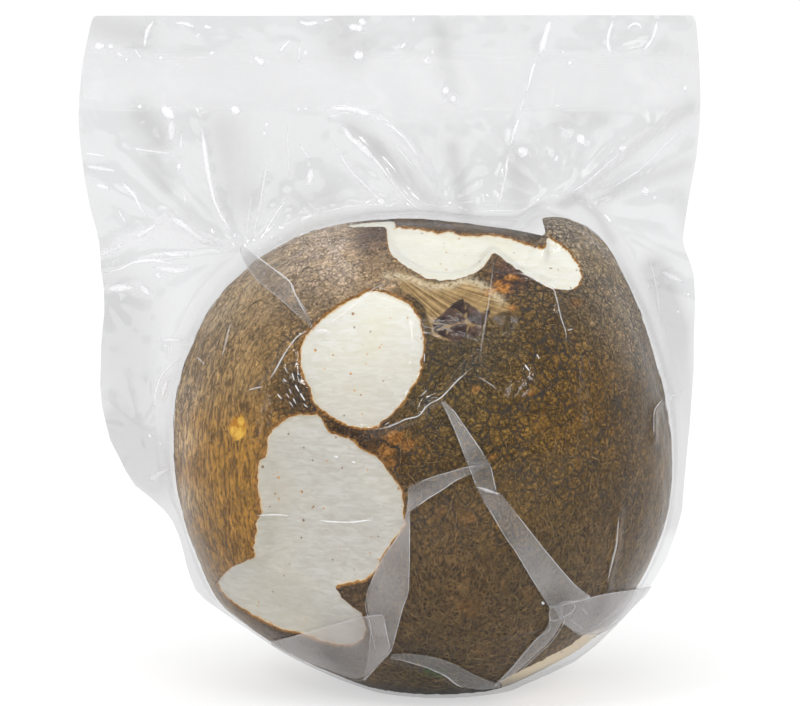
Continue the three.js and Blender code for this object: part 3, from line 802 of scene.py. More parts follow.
def make_film(side):
    if side < 0:
        na, nh, nt, nf = ((600, 96, 10, 54))
    else:
        na, nh, nt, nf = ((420, 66, 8, 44))
    top, g, flat, band = film_grid(side, na, nh, nt, nf)
    n = grid_normals(top, g, side)
    if side < 0:
        u, v = px(g)
        h = ridge_field(u, v, RIDGES)
        # where the film bridges the cuts' steps it stays a little slack
        pp = g.reshape(-1, 3)
        slack = 0.16 * (fbm(pp * 0.11, 3, 201) + 0.6).reshape(u.shape)
        tiny = 0.035 * fbm(pp * 0.55, 2, 202).reshape(u.shape)
        h = h + np.clip(slack, 0, 1) + tiny
        g = g + n * (h * (1 - flat))[..., None]
    else:
        pp = g.reshape(-1, 3)
        rel = (pp - C) / 60.0
        h = np.zeros(len(pp))
        for a, b, c, L, ph, amp in BACK_FOLDS:
            along = rel @ b; off = rel @ c + 0.08 * np.sin(along * 6 + ph)
            d = np.hypot(off, np.maximum(np.abs(along) - L, 0)) / 0.13
            near = (rel @ a) > 0.3
            h += amp * np.clip(1 - d, 0, 1) ** 1.7 * near
        slack = np.clip(0.16 * (fbm(pp * 0.11, 3, 211) + 0.6), 0, 1)
        h = (h + slack).reshape(g.shape[:2])
        g = g + n * (h * (1 - flat))[..., None]
    g[..., 2] = np.maximum(g[..., 2], 0.02)
    verts = np.concatenate([top, g.reshape(-1, 3)], 0)
    verts[:, 2] = np.maximum(verts[:, 2], 0.02)
    ob = build("pouch_front_sheet" if side < 0 else "pouch_back_sheet", verts, film_faces(g.shape[0], na, side))
    attr(ob, "flat", np.concatenate([[0], flat.ravel()]))
    attr(ob, "band", np.concatenate([[0], band.ravel()]))
    _, _, _, _, ff, ffl = macro(unit_dirs(verts))
    fu, fv = px(verts)
    # painted highlights: the glint field keeps the film's relief and gloss strong only where glints are wanted
    glint = 0.22 + soft_field(fu, fv, GLINTS) if side < 0 else 0.3
    attr(ob, "bark", np.clip(sstep(2, -4, ffl) * glint, 0, 1) * (1 - np.concatenate([[0], flat.ravel()])))
    # painted shade: the film's reflection is cut near the floor, so the base reads dark
    attr(ob, "base_painted_shade", sstep(26, 3, verts[:, 2]))
    bright = soft_field(fu, fv, GLINTS) if side < 0 else 0.25
    attr(ob, "shine", np.clip(np.maximum(np.concatenate([[0], flat.ravel()]), 0.22 + bright), 0, 1))
    fl1 = np.concatenate([[0], flat.ravel()])
    near = fl1 if side > 0 else np.maximum(fl1, sstep(0.30, 0.05, np.abs(ff)))
    # painted highlights ('white') and painted shade ('shade'): broad soft marks and rays over the flap and along the
    # silhouette
    ray = light_and_shade_rays(fu, fv)
    if side < 0:
        white = soft_field(fu, fv, PAINTED_HIGHLIGHTS) + np.clip(-ray, 0, 1) * 0.35
        shade = soft_field(fu, fv, SHADES) + np.clip(ray, 0, 1) * 0.9
    else:
        white = np.zeros(len(verts))
        shade = 0.4 * np.clip(fbm(verts * 0.05, 2, 301), 0, 1) + 0.8 * soft_field(fu, fv, SHADES)
    attr(ob, "white", np.clip(white * near, 0, 1))
    attr(ob, "shade", np.clip(shade * near, 0, 1.3))
    return ob


# ------------------------------------------------------------------ strips laid on the film
class Cast:
    """finds the film's surface under a point of the picture"""
    def __init__(self, ob):
        me = ob.data
        vs = [v.co.copy() for v in me.vertices]
        fs = [tuple(p.vertices) for p in me.polygons]
        self.tree = BVHTree.FromPolygons(vs, fs)
        self.eye = Vector(to_m(EYE).tolist())

    def at(self, u, v):
        d = ray_dir(np.array(u), np.array(v))
        hit = self.tree.ray_cast(self.eye, Vector(d.tolist()))
        if hit[0] is None:
            return None, None
        n = hit[1]
        if n.dot(Vector(d.tolist())) > 0:
            n = -n
        return np.array(hit[0]) * 1000 - SHIFT, np.array(n)


def resample(pts, n):
    pts = np.asarray(pts, float)
    d = np.concatenate([[0], np.cumsum(np.linalg.norm(np.diff(pts, axis=0), axis=1))])
    t = np.linspace(0, d[-1], n)
    out = np.stack([np.interp(t, d, pts[:, k]) for k in range(pts.shape[1])], -1)
    # round the corners a little, ends kept
    for _ in range(2):
        out[1:-1] = 0.5 * out[1:-1] + 0.25 * (out[:-2] + out[2:])
    return out


def tube(points, nrms, half_w, half_h, nc=8, taper=True, close=True):
    """flattened tube: half_w across the surface, half_h off it"""
    n = len(points)
    tan = np.gradient(points, axis=0)
    tan /= np.linalg.norm(tan, axis=1)[:, None] + 1e-12
    side = np.cross(tan, nrms)
    side /= np.linalg.norm(side, axis=1)[:, None] + 1e-12
    up = np.cross(side, tan)
    hw = np.broadcast_to(half_w, (n,)).astype(float).copy()
    hh = np.broadcast_to(half_h, (n,)).astype(float).copy()
    if taper:
        t = np.linspace(0, 1, n)
        k = np.clip(np.minimum(t, 1 - t) * 6, 0.12, 1) ** 0.7
        hw *= k; hh *= k
    ang = np.linspace(0, 2 * math.pi, nc, endpoint=False)
    ring = points[:, None, :] + side[:, None, :] * (hw[:, None] * np.cos(ang))[..., None] \
        + up[:, None, :] * (hh[:, None] * np.sin(ang))[..., None]
    verts = ring.reshape(-1, 3)
    faces = []
    for k in range(n - 1):
        for j in range(nc):
            a, b = k * nc + j, k * nc + (j + 1) % nc
            faces.append([a, b, b + nc, a + nc])
    verts = np.concatenate([verts, points[:1], points[-1:]])
    a, b = len(verts) - 2, len(verts) - 1
    for j in range(nc):
        faces.append([a, (j + 1) % nc, j])
        faces.append([b, (n - 1) * nc + j, (n - 1) * nc + (j + 1) % nc])
    return verts, faces


def join(parts):
    vs, fs, base = [], [], 0
    for v, f in parts:
        vs.append(v)
        fs += [[i + base for i in q] for q in f]
        base += len(v)
    return np.concatenate(vs), fs


def lay(cast, pts, step=2.5, lift=0.25):
    pts = np.asarray(pts, float)
    ln = np.linalg.norm(np.diff(pts, axis=0), axis=1).sum()
    q = resample(pts, max(6, int(ln / step)))
    P, N = [], []
    for u, v in q:
        p, n = cast.at(u, v)
        if p is not None:
            P.append(p); N.append(n)
    P = np.array(P); N = np.array(N)
    if len(P) < 4:
        return None, None
    for _ in range(3):
        P[1:-1] = 0.5 * P[1:-1] + 0.25 * (P[:-2] + P[2:])
        N[1:-1] = 0.5 * N[1:-1] + 0.25 * (N[:-2] + N[2:])
    N /= np.linalg.norm(N, axis=1)[:, None]
    return P + N * lift, N


# painted highlights laid along the film's creases: points, half width mm, how white
CREASE_HIGHLIGHTS = [
    ([(199.3, 118), (202.6, 134.5), (205.8, 158.4), (210.2, 182.2), (214.5, 199.6), (221, 214.8), (229.7, 230), (237.3, 242)], .62, 1.0),
    ([(340.3, 123.6), (351.2, 138.8), (359.8, 145.3), (377.2, 161.6)], .85, 1.0),
    ([(359.8, 145.3), (377.2, 161.6), (394.5, 184.4), (411.9, 203.9), (425, 216)], .42, .95),
    ([(392, 141), (404, 155), (418, 171)], .25, .5), ([(378, 199), (385, 205)], .8, .9), ([(364, 204), (371, 201)], .55, .7),
    ([(331.6, 138.8), (349, 169.2), (370.7, 190.9), (383.7, 203.9), (401, 216.9)], .30, .55), ([(360, 180), (364, 184)], .4, .5),
    ([(329.5, 112.8), (333.8, 108.5), (349, 108.5), (362, 112.8), (375, 117.1)], .65, .8),
    ([(375, 117), (392.4, 128), (405, 138.8), (424, 165)], .4, .5), ([(311, 167), (310.5, 176), (308.9, 186.6)], .8, 1.0),
    ([(299, 143.2), (305, 152), (311, 160.5)], .25, .6), ([(287, 123.6), (288, 150), (289.3, 180)], .2, .35),
    ([(262.2, 240.8), (268.7, 225.6), (279.6, 208), (288.2, 197.4)], .35, .9),
    ([(251, 245), (255.7, 225.6), (262, 195), (268.7, 152)], .25, .5), ([(246, 244), (248, 220), (252, 190)], .2, .35),
    ([(271, 240), (274, 236)], .5, .7), ([(299, 222), (306, 218), (314.3, 214.8)], .7, .6),
    ([(139, 104.5), (141, 109)], .6, .8), ([(160.3, 106.3), (166, 111), (175.4, 119.3)], 1.1, 1.0), ([(172, 118), (171, 143)], .9, .45),
    ([(230, 107.5), (236, 110), (240.5, 113.5)], 1.0, 1.0), ([(267.5, 122), (266, 127)], .5, .9), ([(265, 131), (264, 135.5)], .5, .9),
    ([(297, 110), (300, 109)], .4, .7), ([(304, 109), (308, 108)], .4, .6),
    ([(156, 19.5), (149.4, 26), (145.5, 37), (145, 49.9)], .5, .9), ([(134.2, 47.7), (138, 54), (142.9, 58.6)], .3, .6),
    ([(173.3, 24), (180, 22), (190, 25), (197, 28)], .45, .6), ([(203.6, 26), (208, 27), (212.3, 28.2)], .5, .7),
    ([(197, 34), (200, 36)], .9, .4), ([(211, 52), (213.5, 54)], .6, .9), ([(159, 57.5), (163, 58)], .5, .9),
    ([(125.5, 59), (128, 60)], .5, .8), ([(253.5, 56.4), (259, 60), (264.4, 65)], .75, 1.0),
    ([(279.6, 54.2), (281, 48), (283.9, 44.5), (292.6, 39)], .4, .7), ([(299, 43.4), (299.5, 52), (298, 62.9)], .3, .55),
    ([(304.5, 50), (306.5, 56)], .6, .8), ([(296.9, 19.5), (302, 23.5), (307.8, 24.9), (314, 23), (320.8, 21.7)], .55, .8),
    ([(322, 21), (334, 18.5)], .4, .5), ([(346.8, 27.1), (355, 27), (364.2, 30.4)], .95, .95),
    ([(357.7, 20.6), (363, 21.5), (366.3, 25)], .8, .9), ([(353.3, 58.6), (358, 55.5), (364.2, 52)], 1.2, 1.0),
    ([(402, 44.5), (404.5, 47)], .9, .95), ([(93, 46.6), (99, 45), (106, 47)], .9, .8), ([(108, 47), (114, 46)], .7, .7),
    ([(116, 52), (124, 57)], .5, .5), ([(80.5, 151.8), (92, 154), (108.2, 156.2)], .3, .7), ([(81, 165), (98, 168), (119, 171.4)], .5, .5),
    ([(95.2, 184.4), (103, 186), (110.4, 188.7)], .6, .9),
    ([(119, 180), (127, 187), (134.2, 195.2), (140.7, 208.2), (149.4, 219)], .3, .85), ([(116.9, 208.2), (122, 216), (127.7, 225.6)], .25, .5),
    ([(132, 237.5), (145, 232), (158, 223.4)], .6, .95), ([(101.7, 253.8), (113, 249), (125.5, 244)], .5, .9),
    ([(166.8, 214.8), (184, 225.6), (201.5, 238.6), (225.3, 247.3)], .85, 1.0), ([(160, 251.6), (173, 256), (190, 254)], .4, .6),
    ([(127.7, 147.5), (150, 151), (175.4, 154)], .3, .45), ([(182, 130), (181.5, 140), (180.9, 151.8)], .25, .4),
    ([(178.5, 163), (179.5, 170)], .6, .7), ([(183, 190), (187, 205)], .25, .5),
    ([(551.2, 17.5), (547.3, 27.7), (542.3, 45.5), (538.4, 57.3)], .85, 1.0), ([(538.4, 57.3), (532.5, 69.2), (528.5, 85), (524.6, 94.9)], .38, .75),
    ([(519.5, 114), (518.6, 120), (514.7, 128.5), (509.7, 148.3)], .38, .9), ([(509.7, 148.3), (504.8, 177.9), (500.8, 197.7), (496.9, 211.5)], .42, .85),
    ([(516.6, 149), (522, 151.5), (528.5, 155.2)], 1.3, 1.0), ([(575.5, 141), (580, 139.5), (585.8, 137)], 1.3, 1.0),
    ([(554.2, 162), (558.2, 155.2)], .5, .85), ([(683, 88), (686.5, 88)], .7, .95), ([(641, 191.5), (646, 190.5), (650, 190)], 1.1, .8),
    ([(654, 196), (656, 199)], .5, .7), ([(614.5, 18), (609, 33), (607.6, 42), (609, 51.4), (615.5, 54.4)], .42, .9),
    ([(657, 18), (656, 29.7), (651, 41.5), (641.2, 52.4)], .42, .9), ([(625.4, 31.6), (630, 25), (635.3, 21.7), (640, 24), (643.2, 31.6)], .35, .8),
    ([(569, 65), (571, 61)], .5, .9), ([(562, 51), (564, 52.5)], .4, .8), ([(424, 62), (428, 60.5)], .8, .8), ([(431, 51), (434, 52)], .5, .7),
    ([(442, 93), (446, 90), (449, 93)], 1.2, .8), ([(450, 97), (456, 101)], .9, .8), ([(412, 19), (415, 20)], .6, .6),
    ([(618, 150), (623, 148), (628, 147)], .6, .7), ([(564, 198), (590, 180), (612, 160), (628, 147)], .28, .45),
    ([(600, 196), (640, 170), (690, 120)], .28, .35), ([(574, 136), (555, 124)], .22, .35),
    ([(100.4, 256.3), (110, 250), (122.9, 242)], .4, .8),
    ([(100.4, 273.7), (120.8, 268.6), (133, 262.4), (151.4, 260.4), (172, 263), (190.2, 264.5)], .35, .8),
    ([(151.4, 266.5), (165.7, 268.6), (180, 271.6), (192.2, 266.5)], .8, 1.0), ([(155.5, 272.7), (161.6, 278.8)], .5, .8),
    ([(104.5, 289), (120, 288), (137, 287)], .9, .8), ([(139.2, 283.9), (145, 290), (151.4, 296)], .8, .95),
    ([(157.6, 340), (170, 339.5), (184, 341)], .5, .6),
    ([(183, 358.4), (169.8, 366.5), (161.6, 376.7), (156.5, 391), (154.5, 411.4)], .32, .9), ([(169.8, 378.8), (165, 388), (162.6, 399)], .9, .7),
    ([(149.5, 433), (151.5, 438)], .6, .7), ([(160, 441), (163, 446)], .4, .6), ([(147.3, 480.8), (160, 474), (173.9, 466.5)], .7, .5),
    ([(168, 469), (174, 495), (186, 525.7), (194.3, 546)], .4, .55), ([(659, 270), (672, 277), (685, 283)], .7, .5),
    ([(645, 192.5), (647, 196)], .6, .6), ([(677, 310), (678.5, 313)], .5, .8),
    ([(646, 248.6), (652, 268), (657, 289.8), (660.4, 328.8)], .25, .5), ([(684, 243), (690, 247), (695, 262)], .3, .4),
    ([(524.6, 94.9), (521.6, 104), (519.5, 114)], .28, .55),
    # over the corm, with short painted glints between the cuts among them
    (RIDGES[0][0], .27, .55), (RIDGES[1][0], .30, .45), (RIDGES[2][0], .26, .45), (RIDGES[4][0], .22, .40),
    (RIDGES[5][0], .28, .50), (RIDGES[6][0], .17, .34), (RIDGES[7][0], .27, .42), (RIDGES[8][0], .2, .5), (RIDGES[9][0], .28, .45),
    (RIDGES[10][0], .28, .45), (RIDGES[11][0], .34, .40), (RIDGES[12][0], .17, .28), (RIDGES[13][0], .25, .8), (RIDGES[14][0], .28, .8),
    (RIDGES[16][0], .30, .50), ([(474, 486), (486, 490), (502, 495)], .50, .95), ([(313, 330), (318, 330), (326, 330), (332, 333)], .40, .75),
    ([(233, 318), (229, 332), (226, 345), (222, 362)], .35, .35), ([(197, 357), (202, 360), (206, 366)], .4, .3),
    ([(334, 456), (339, 457)], .45, .8), ([(352, 461), (356, 463)], .4, .7),
    ([(559, 597), (552, 602), (548, 612), (549, 621), (557, 620), (565, 615), (573, 611), (576, 604), (569, 601), (560, 598)], .20, .55),
    ([(577, 604), (584, 610), (590, 618)], .18, .45), ([(582, 637), (604, 619), (628, 601), (650, 587)], .20, .50),
    ([(566, 616), (575, 623), (586, 631)], .16, .40),
    ([(284, 366), (287, 370), (288, 374)], .22, .7), ([(292, 372), (294, 377), (295, 382)], .24, .8), ([(283, 378), (286, 381), (288, 383)], .2, .6),
    ([(295, 384), (298, 389), (300, 393)], .26, .8), ([(289, 388), (291, 391), (292, 395)], .2, .6), ([(277, 393), (280, 397), (283, 400)], .22, .7),
    ([(300, 392), (303, 397), (306, 402)], .26, .85), ([(293, 397), (295, 401), (297, 405)], .22, .7), ([(303, 403), (306, 406), (309, 408)], .2, .6),
    ([(298, 376), (299, 380), (301, 384)], .18, .6), ([(289, 401), (292, 404), (294, 408)], .2, .55), ([(286, 393), (289, 396), (290, 399)], .16, .6),
    ([(536, 354), (538, 357), (539, 360)], .26, .7), ([(524, 364), (527, 369), (530, 372)], .28, .8), ([(527, 377), (531, 379), (534, 380)], .18, .5),
    ([(420, 330), (422, 336), (423, 342)], .2, .5), ([(424, 352), (425, 358), (424, 364)], .18, .5), ([(419, 398), (424, 394), (428, 389)], .18, .5),
    ([(541, 601), (543, 603), (544, 604)], .5, .9),
]
LIFT = ([(390, 658), (404, 660), (425, 666), (446, 675), (457, 684), (478, 689), (500, 686)],
        [(392, 653), (410, 652), (432, 655), (452, 661), (468, 670), (484, 678), (500, 683)])
ON_CORM = [k for k, row in enumerate(CREASE_HIGHLIGHTS) if row[0] is RIDGES[0][0]][0]
# folded ribbons: one long edge, the other long edge
RIBBONS = [
    ([(440, 402), (448, 415), (457, 436), (463, 452), (467, 465)], [(444, 401), (455, 413), (465, 428), (476, 444), (489, 463)]),
    ([(467, 463), (471, 472), (476, 488)], [(489, 462), (492, 476), (496, 495)]),
    ([(489, 463), (476, 466), (465, 467), (452, 471), (434, 476), (419, 482), (408, 487)],
     [(474, 473), (464, 476), (455, 480), (446, 487), (438, 492), (425, 500), (409, 512)]),
    ([(476, 487), (482, 499), (492, 515), (503, 534), (515, 551), (526, 570), (538, 589), (549, 607)],
     [(502, 495), (508, 503), (515, 513), (530, 532), (545, 551), (559, 568), (574, 585), (590, 596)]),
    ([(549, 606), (548, 616), (549, 628), (538, 633), (522, 652), (507, 670), (493, 684)],
     [(562, 600), (564, 612), (562, 622), (549, 641), (534, 654), (518, 669), (500, 681)]),
]
# wide double layers: outline pairs
PLEATS = [
    ([(408, 503), (404, 524), (397, 538), (387, 551), (380, 563), (374, 576), (368, 590), (366, 606), (372, 624), (370, 650), (364, 678)],
     [(408, 488), (410, 503), (410, 534), (410, 563), (409, 591), (402, 610), (397, 630), (392, 649), (386, 657), (380, 662), (366, 679)]),
    ([(272, 640), (303, 633), (332, 624), (360, 616), (384, 612), (392, 648)],
     [(274, 644), (300, 658), (325, 667), (343, 674), (362, 679), (388, 655)]),
    ([(366, 614), (372, 628), (376, 647), (380, 655)], [(384, 612), (387, 630), (391, 645), (388, 652)]),
    ([(551, 604), (566, 599), (576, 600), (601, 593), (630, 589), (650, 585)],
     [(562, 622), (574, 631), (586, 634), (600, 633), (612, 625), (640, 598)]),
    ([(239, 249), (248, 268), (260, 283), (275, 295), (290, 308), (302, 317), (313, 329)],
     [(240, 246), (250, 251), (262, 260), (276, 270), (289, 281), (297, 298), (315, 329)]),
]


def lay_round(cast, dirs, lift):
    """the film's outside in these directions from the corm's middle"""
    P, N = [], []
    c = to_m(C)
    for d in dirs:
        d = d / np.linalg.norm(d)
        if d[1] < 0.12:
            continue
        hit = cast.tree.ray_cast(Vector((c + d * 0.16).tolist()), Vector((-d).tolist()))
        if hit[0] is None:
            continue
        n = hit[1] if hit[1].dot(Vector(d.tolist())) > 0 else -hit[1]
        P.append(np.array(hit[0]) * 1000 - SHIFT); N.append(np.array(n))
    if len(P) < 5:
        return None, None
    P = np.array(P); N = np.array(N)
    for _ in range(3):
        P[1:-1] = 0.5 * P[1:-1] + 0.25 * (P[:-2] + P[2:])
        N[1:-1] = 0.5 * N[1:-1] + 0.25 * (N[:-2] + N[2:])
    N /= np.linalg.norm(N, axis=1)[:, None]
    return P + N * lift, N


# one painted highlight: a flattened tube on the film, milky white along its crest
def crease(cast, pts, half_w, lit, lift=0.28, laid=None):
    P, N = laid if laid is not None else lay(cast, pts, step=2.2, lift=lift)
    if P is None:
        return None
    n = len(P)
    t = np.linspace(0, 1, n)
    k = np.clip(np.sin(math.pi * t), 0, 1) ** 0.55
    k = np.maximum(k, 0.10) * (0.85 + 0.15 * np.sin(t * 9 + half_w * 40))
    v, f = tube(P, N, half_w * k, np.minimum(0.20, half_w * 0.5) * k, nc=10, taper=False)
    ang = np.linspace(0, 2 * math.pi, 10, endpoint=False)
    fade = np.clip(np.minimum(t, 1 - t) * 5, 0, 1) ** 0.8
    core = (np.abs(np.sin(ang))[None, :] * fade[:, None]).ravel()
    return v, f, np.concatenate([core, [0, 0]]), np.full(len(v), lit)


def ribbon_mesh(cast, e0, e1, lift, thick, ns=26, nw=7):
    """closed, flattened sleeve between two edges, rounded along both"""
    a = resample(e0, ns); b = resample(e1, ns)
    top_rows, bot_rows = [], []
    ts = 0.5 - 0.5 * np.cos(np.linspace(0, math.pi, nw))
    G = np.zeros((ns, nw, 3)); N = np.zeros((ns, nw, 3)); ok = np.ones((ns, nw), bool)
    for k in range(ns):
        for j, t in enumerate(ts):
            u, v = a[k] * (1 - t) + b[k] * t
            p, n = cast.at(u, v)
            if p is None:
                ok[k, j] = False
            else:
                G[k, j] = p; N[k, j] = n
    # points off the film take their nearest neighbour's depth
    if not ok.all():
        idx = np.argwhere(ok)
        for k, j in np.argwhere(~ok):
            m = idx[np.argmin(((idx - [k, j]) ** 2).sum(1))]
            u, v = a[k] * (1 - ts[j]) + b[k] * ts[j]
            d = ray_dir(np.array(u), np.array(v))
            ref = G[m[0], m[1]]
            dist = (ref - EYE) @ LOOK / (d @ LOOK)
            G[k, j] = EYE + d * dist; N[k, j] = N[m[0], m[1]]
    for _ in range(6):
        G[1:-1] = 0.5 * G[1:-1] + 0.25 * (G[:-2] + G[2:])
        G[:, 1:-1] = 0.5 * G[:, 1:-1] + 0.25 * (G[:, :-2] + G[:, 2:])
        N[1:-1] = 0.5 * N[1:-1] + 0.25 * (N[:-2] + N[2:])
    N /= np.linalg.norm(N, axis=-1)[..., None]
    prof = np.sqrt(np.clip(1 - (2 * ts - 1) ** 2, 0, 1)) ** 0.6
    mid = G + N * lift
    topg = mid + N * (prof * thick)[None, :, None]
    botg = mid - N * (prof * thick * 0.6)[None, :, None]
    nv = ns * nw
    verts = np.concatenate([topg.reshape(-1, 3), botg.reshape(-1, 3)])
    faces = []
    for k in range(ns - 1):
        for j in range(nw - 1):
            q = [k * nw + j, k * nw + j + 1, (k + 1) * nw + j + 1, (k + 1) * nw + j]
            faces.append(q)
            faces.append([x + nv for x in q[::-1]])
    for k in (0, ns - 1):
        for j in range(nw - 1):
            q = [k * nw + j, k * nw + j + 1, k * nw + j + 1 + nv, k * nw + j + nv]
            faces.append(q if k else q[::-1])
    for j in (0, nw - 1):
        for k in range(ns - 1):
            q = [k * nw + j, (k + 1) * nw + j, (k + 1) * nw + j + nv, k * nw + j + nv]
            faces.append(q if j == 0 else q[::-1])
    return verts, faces


# ------------------------------------------------------------------ root hairs
def make_hairs(name, count, steps, seed, r0, r1, low_only):
    rng = np.random.default_rng(seed)
    s = rng.normal(size=(count * (7 if low_only else 3), 3))
    s /= np.linalg.norm(s, axis=1)[:, None]
    p, nrm, u, v, facing, flesh = macro(s)
    front = facing > 0
    dens = np.where(front, 0.10 + 0.90 * sstep(400, 560, v) * sstep(300, 400, u) + 0.15 * sstep(560, 640, u) * sstep(330, 420, v)
                    + 0.30 * sstep(300, 230, u) * sstep(300, 380, v), 0.3)
    if low_only:
        dens = np.where(front, sstep(430, 600, v) * sstep(330, 400, u) * 0.9 + 0.05, 0.12)
    ang = np.degrees(np.arctan2(p[:, 2] - C[2], p[:, 0] - C[0]))
    notch = (ang > 55) & (ang < 80) & (np.abs(p[:, 1]) < 40)
    keep = (rng.random(len(s)) < dens) & (flesh < -6) & (p[:, 2] > 4) & ~notch
    s = s[keep][:count]
    n = len(s)
    down = np.array([0, 0, -1.0])
    head = rng.normal(size=(n, 3)) * 0.9 + down * rng.choice([-1, 1], size=(n, 1)) * 1.1
    length = rng.uniform(2.0, 7.5, n) if low_only else rng.uniform(3.0, 11.0, n)
    P = np.zeros((n, steps, 3)); N = np.zeros((n, steps, 3)); F = np.zeros((n, steps))
    for k in range(steps):
        q, nn, _, _, _, fl = macro(s)
        P[:, k] = q - nn * 0.02; N[:, k] = nn; F[:, k] = fl
        head += rng.normal(size=(n, 3)) * 0.28
        head -= nn * (head * nn).sum(-1)[:, None]
        head /= np.linalg.norm(head, axis=1)[:, None]
        s = s + head * (length / steps / 60.0)[:, None]
        s /= np.linalg.norm(s, axis=1)[:, None]
    good = (F.max(1) < -3) & (P[:, :, 2].min(1) > 1.5)
    P, N = P[good], N[good]
    n = len(P)
    rad = rng.uniform(r0, r1, n)
    P = P - N * rng.uniform(0.05, 0.30, n)[:, None, None]
    tan = np.gradient(P, axis=1)
    tan /= np.linalg.norm(tan, axis=-1)[..., None] + 1e-12
    side = np.cross(tan, N)
    side /= np.linalg.norm(side, axis=-1)[..., None] + 1e-12
    up = np.cross(side, tan)
    t = np.linspace(0, 1, steps)
    k = np.clip(np.minimum(t * 5, (1 - t) * 3), 0.25, 1)
    nc = 3
    ang = np.linspace(0, 2 * math.pi, nc, endpoint=False) + math.pi / 2
    ring = P[:, :, None, :] + rad[:, None, None, None] * k[None, :, None, None] * (
        side[:, :, None, :] * np.cos(ang)[None, None, :, None] + up[:, :, None, :] * np.sin(ang)[None, None, :, None])
    verts = ring.reshape(-1, 3)
    I, K, J = np.meshgrid(np.arange(n), np.arange(steps - 1), np.arange(nc), indexing='ij')
    a = (I * steps + K) * nc + J
    b = (I * steps + K) * nc + (J + 1) % nc
    quads = np.stack([a, b, b + nc, a + nc], -1).reshape(-1, 4)
    c0 = (np.arange(n) * steps) * nc
    c1 = (np.arange(n) * steps + steps - 1) * nc
    caps = [[c + 2, c + 1, c] for c in c0.tolist()] + [[c, c + 1, c + 2] for c in c1.tolist()]
    ob = build(name, verts, quads.tolist() + caps)
    shade = np.repeat(rng.random(n), steps * nc)
    attr(ob, "shade", shade)
    return ob


# ------------------------------------------------------------------ materials
class Nodes:
    def __init__(self, name):
        self.mat = bpy.data.materials.new(name)
        self.mat.use_nodes = True
        self.t = self.mat.node_tree
        self.t.nodes.clear()
        self.out = self.t.nodes.new('ShaderNodeOutputMaterial')

    def n(self, kind, **kw):
        nd = self.t.nodes.new(kind)
        for k, val in kw.items():
            setattr(nd, k, val)
        return nd

    def link(self, a, b):
        self.t.links.new(a, b)

    def val(self, sock, x):
        if hasattr(x, 'is_output') or isinstance(x, bpy.types.NodeSocket):
            self.link(x, sock)
        else:
            sock.default_value = x

    def attr(self, name, color=False):
        nd = self.n('ShaderNodeAttribute', attribute_name=name)
        return nd.outputs['Color'] if color else nd.outputs['Fac']

    def math(self, op, a, b=0.0, c=0.0, clamp=False):
        nd = self.n('ShaderNodeMath', operation=op, use_clamp=clamp)
        self.val(nd.inputs[0], a); self.val(nd.inputs[1], b)
        if op in ('MULTIPLY_ADD',):
            self.val(nd.inputs[2], c)
        return nd.outputs[0]

    def step(self, x, lo, hi):
        nd = self.n('ShaderNodeMapRange', interpolation_type='SMOOTHSTEP', clamp=True)
        self.val(nd.inputs['Value'], x)
        nd.inputs['From Min'].default_value = lo
        nd.inputs['From Max'].default_value = hi
        nd.inputs['To Min'].default_value = 0
        nd.inputs['To Max'].default_value = 1
        return nd.outputs['Result']

    def mix(self, fac, a, b, blend='MIX'):
        nd = self.n('ShaderNodeMix', data_type='RGBA', blend_type=blend)
        self.val(nd.inputs[0], fac)
        for i, x in ((6, a), (7, b)):
            if isinstance(x, tuple):
                x = (*x, 1.0) if len(x) == 3 else x
            self.val(nd.inputs[i], x)
        return nd.outputs[2]

    def coord(self, scale=(1, 1, 1)):
        tc = self.n('ShaderNodeTexCoord')
        mp = self.n('ShaderNodeMapping')
        mp.inputs['Scale'].default_value = scale
        self.link(tc.outputs['Object'], mp.inputs['Vector'])
        return mp.outputs['Vector']

    def noise(self, vec, scale, detail=3.0, rough=0.55, dist=0.0):
        nd = self.n('ShaderNodeTexNoise')
        self.link(vec, nd.inputs['Vector'])
        nd.inputs['Scale'].default_value = scale
        nd.inputs['Detail'].default_value = detail
        nd.inputs['Roughness'].default_value = rough
        nd.inputs['Distortion'].default_value = dist
        return nd.outputs['Fac']

    def vor(self, vec, scale, feature='F1', out='Distance'):
        nd = self.n('ShaderNodeTexVoronoi', feature=feature)
        self.link(vec, nd.inputs['Vector'])
        nd.inputs['Scale'].default_value = scale
        return nd.outputs[out]

    def bump(self, height, strength, dist, normal=None):
        nd = self.n('ShaderNodeBump')
        nd.inputs['Strength'].default_value = strength
        nd.inputs['Distance'].default_value = dist
        self.link(height, nd.inputs['Height'])
        if normal is not None:
            self.link(normal, nd.inputs['Normal'])
        return nd.outputs['Normal']


def wander(m, obj):
    """coordinates that drift a little, so that no grain runs dead straight"""
    wn = m.n('ShaderNodeTexNoise')
    m.link(obj, wn.inputs['Vector'])
    wn.inputs['Scale'].default_value = 190
    wn.inputs['Detail'].default_value = 2.0
    sub = m.n('ShaderNodeVectorMath', operation='SUBTRACT')
    m.link(wn.outputs['Color'], sub.inputs[0]); sub.inputs[1].default_value = (0.5, 0.5, 0.5)
    mul = m.n('ShaderNodeVectorMath', operation='MULTIPLY')
    m.link(sub.outputs[0], mul.inputs[0]); mul.inputs[1].default_value = (0.0024, 0.0024, 0.0024)
    add = m.n('ShaderNodeVectorMath', operation='ADD')
    m.link(obj, add.inputs[0]); m.link(mul.outputs[0], add.inputs[1])
    return add.outputs[0]


def scaled(m, vec, k):
    mul = m.n('ShaderNodeVectorMath', operation='MULTIPLY')
    m.link(vec, mul.inputs[0]); mul.inputs[1].default_value = k
    return mul.outputs[0]


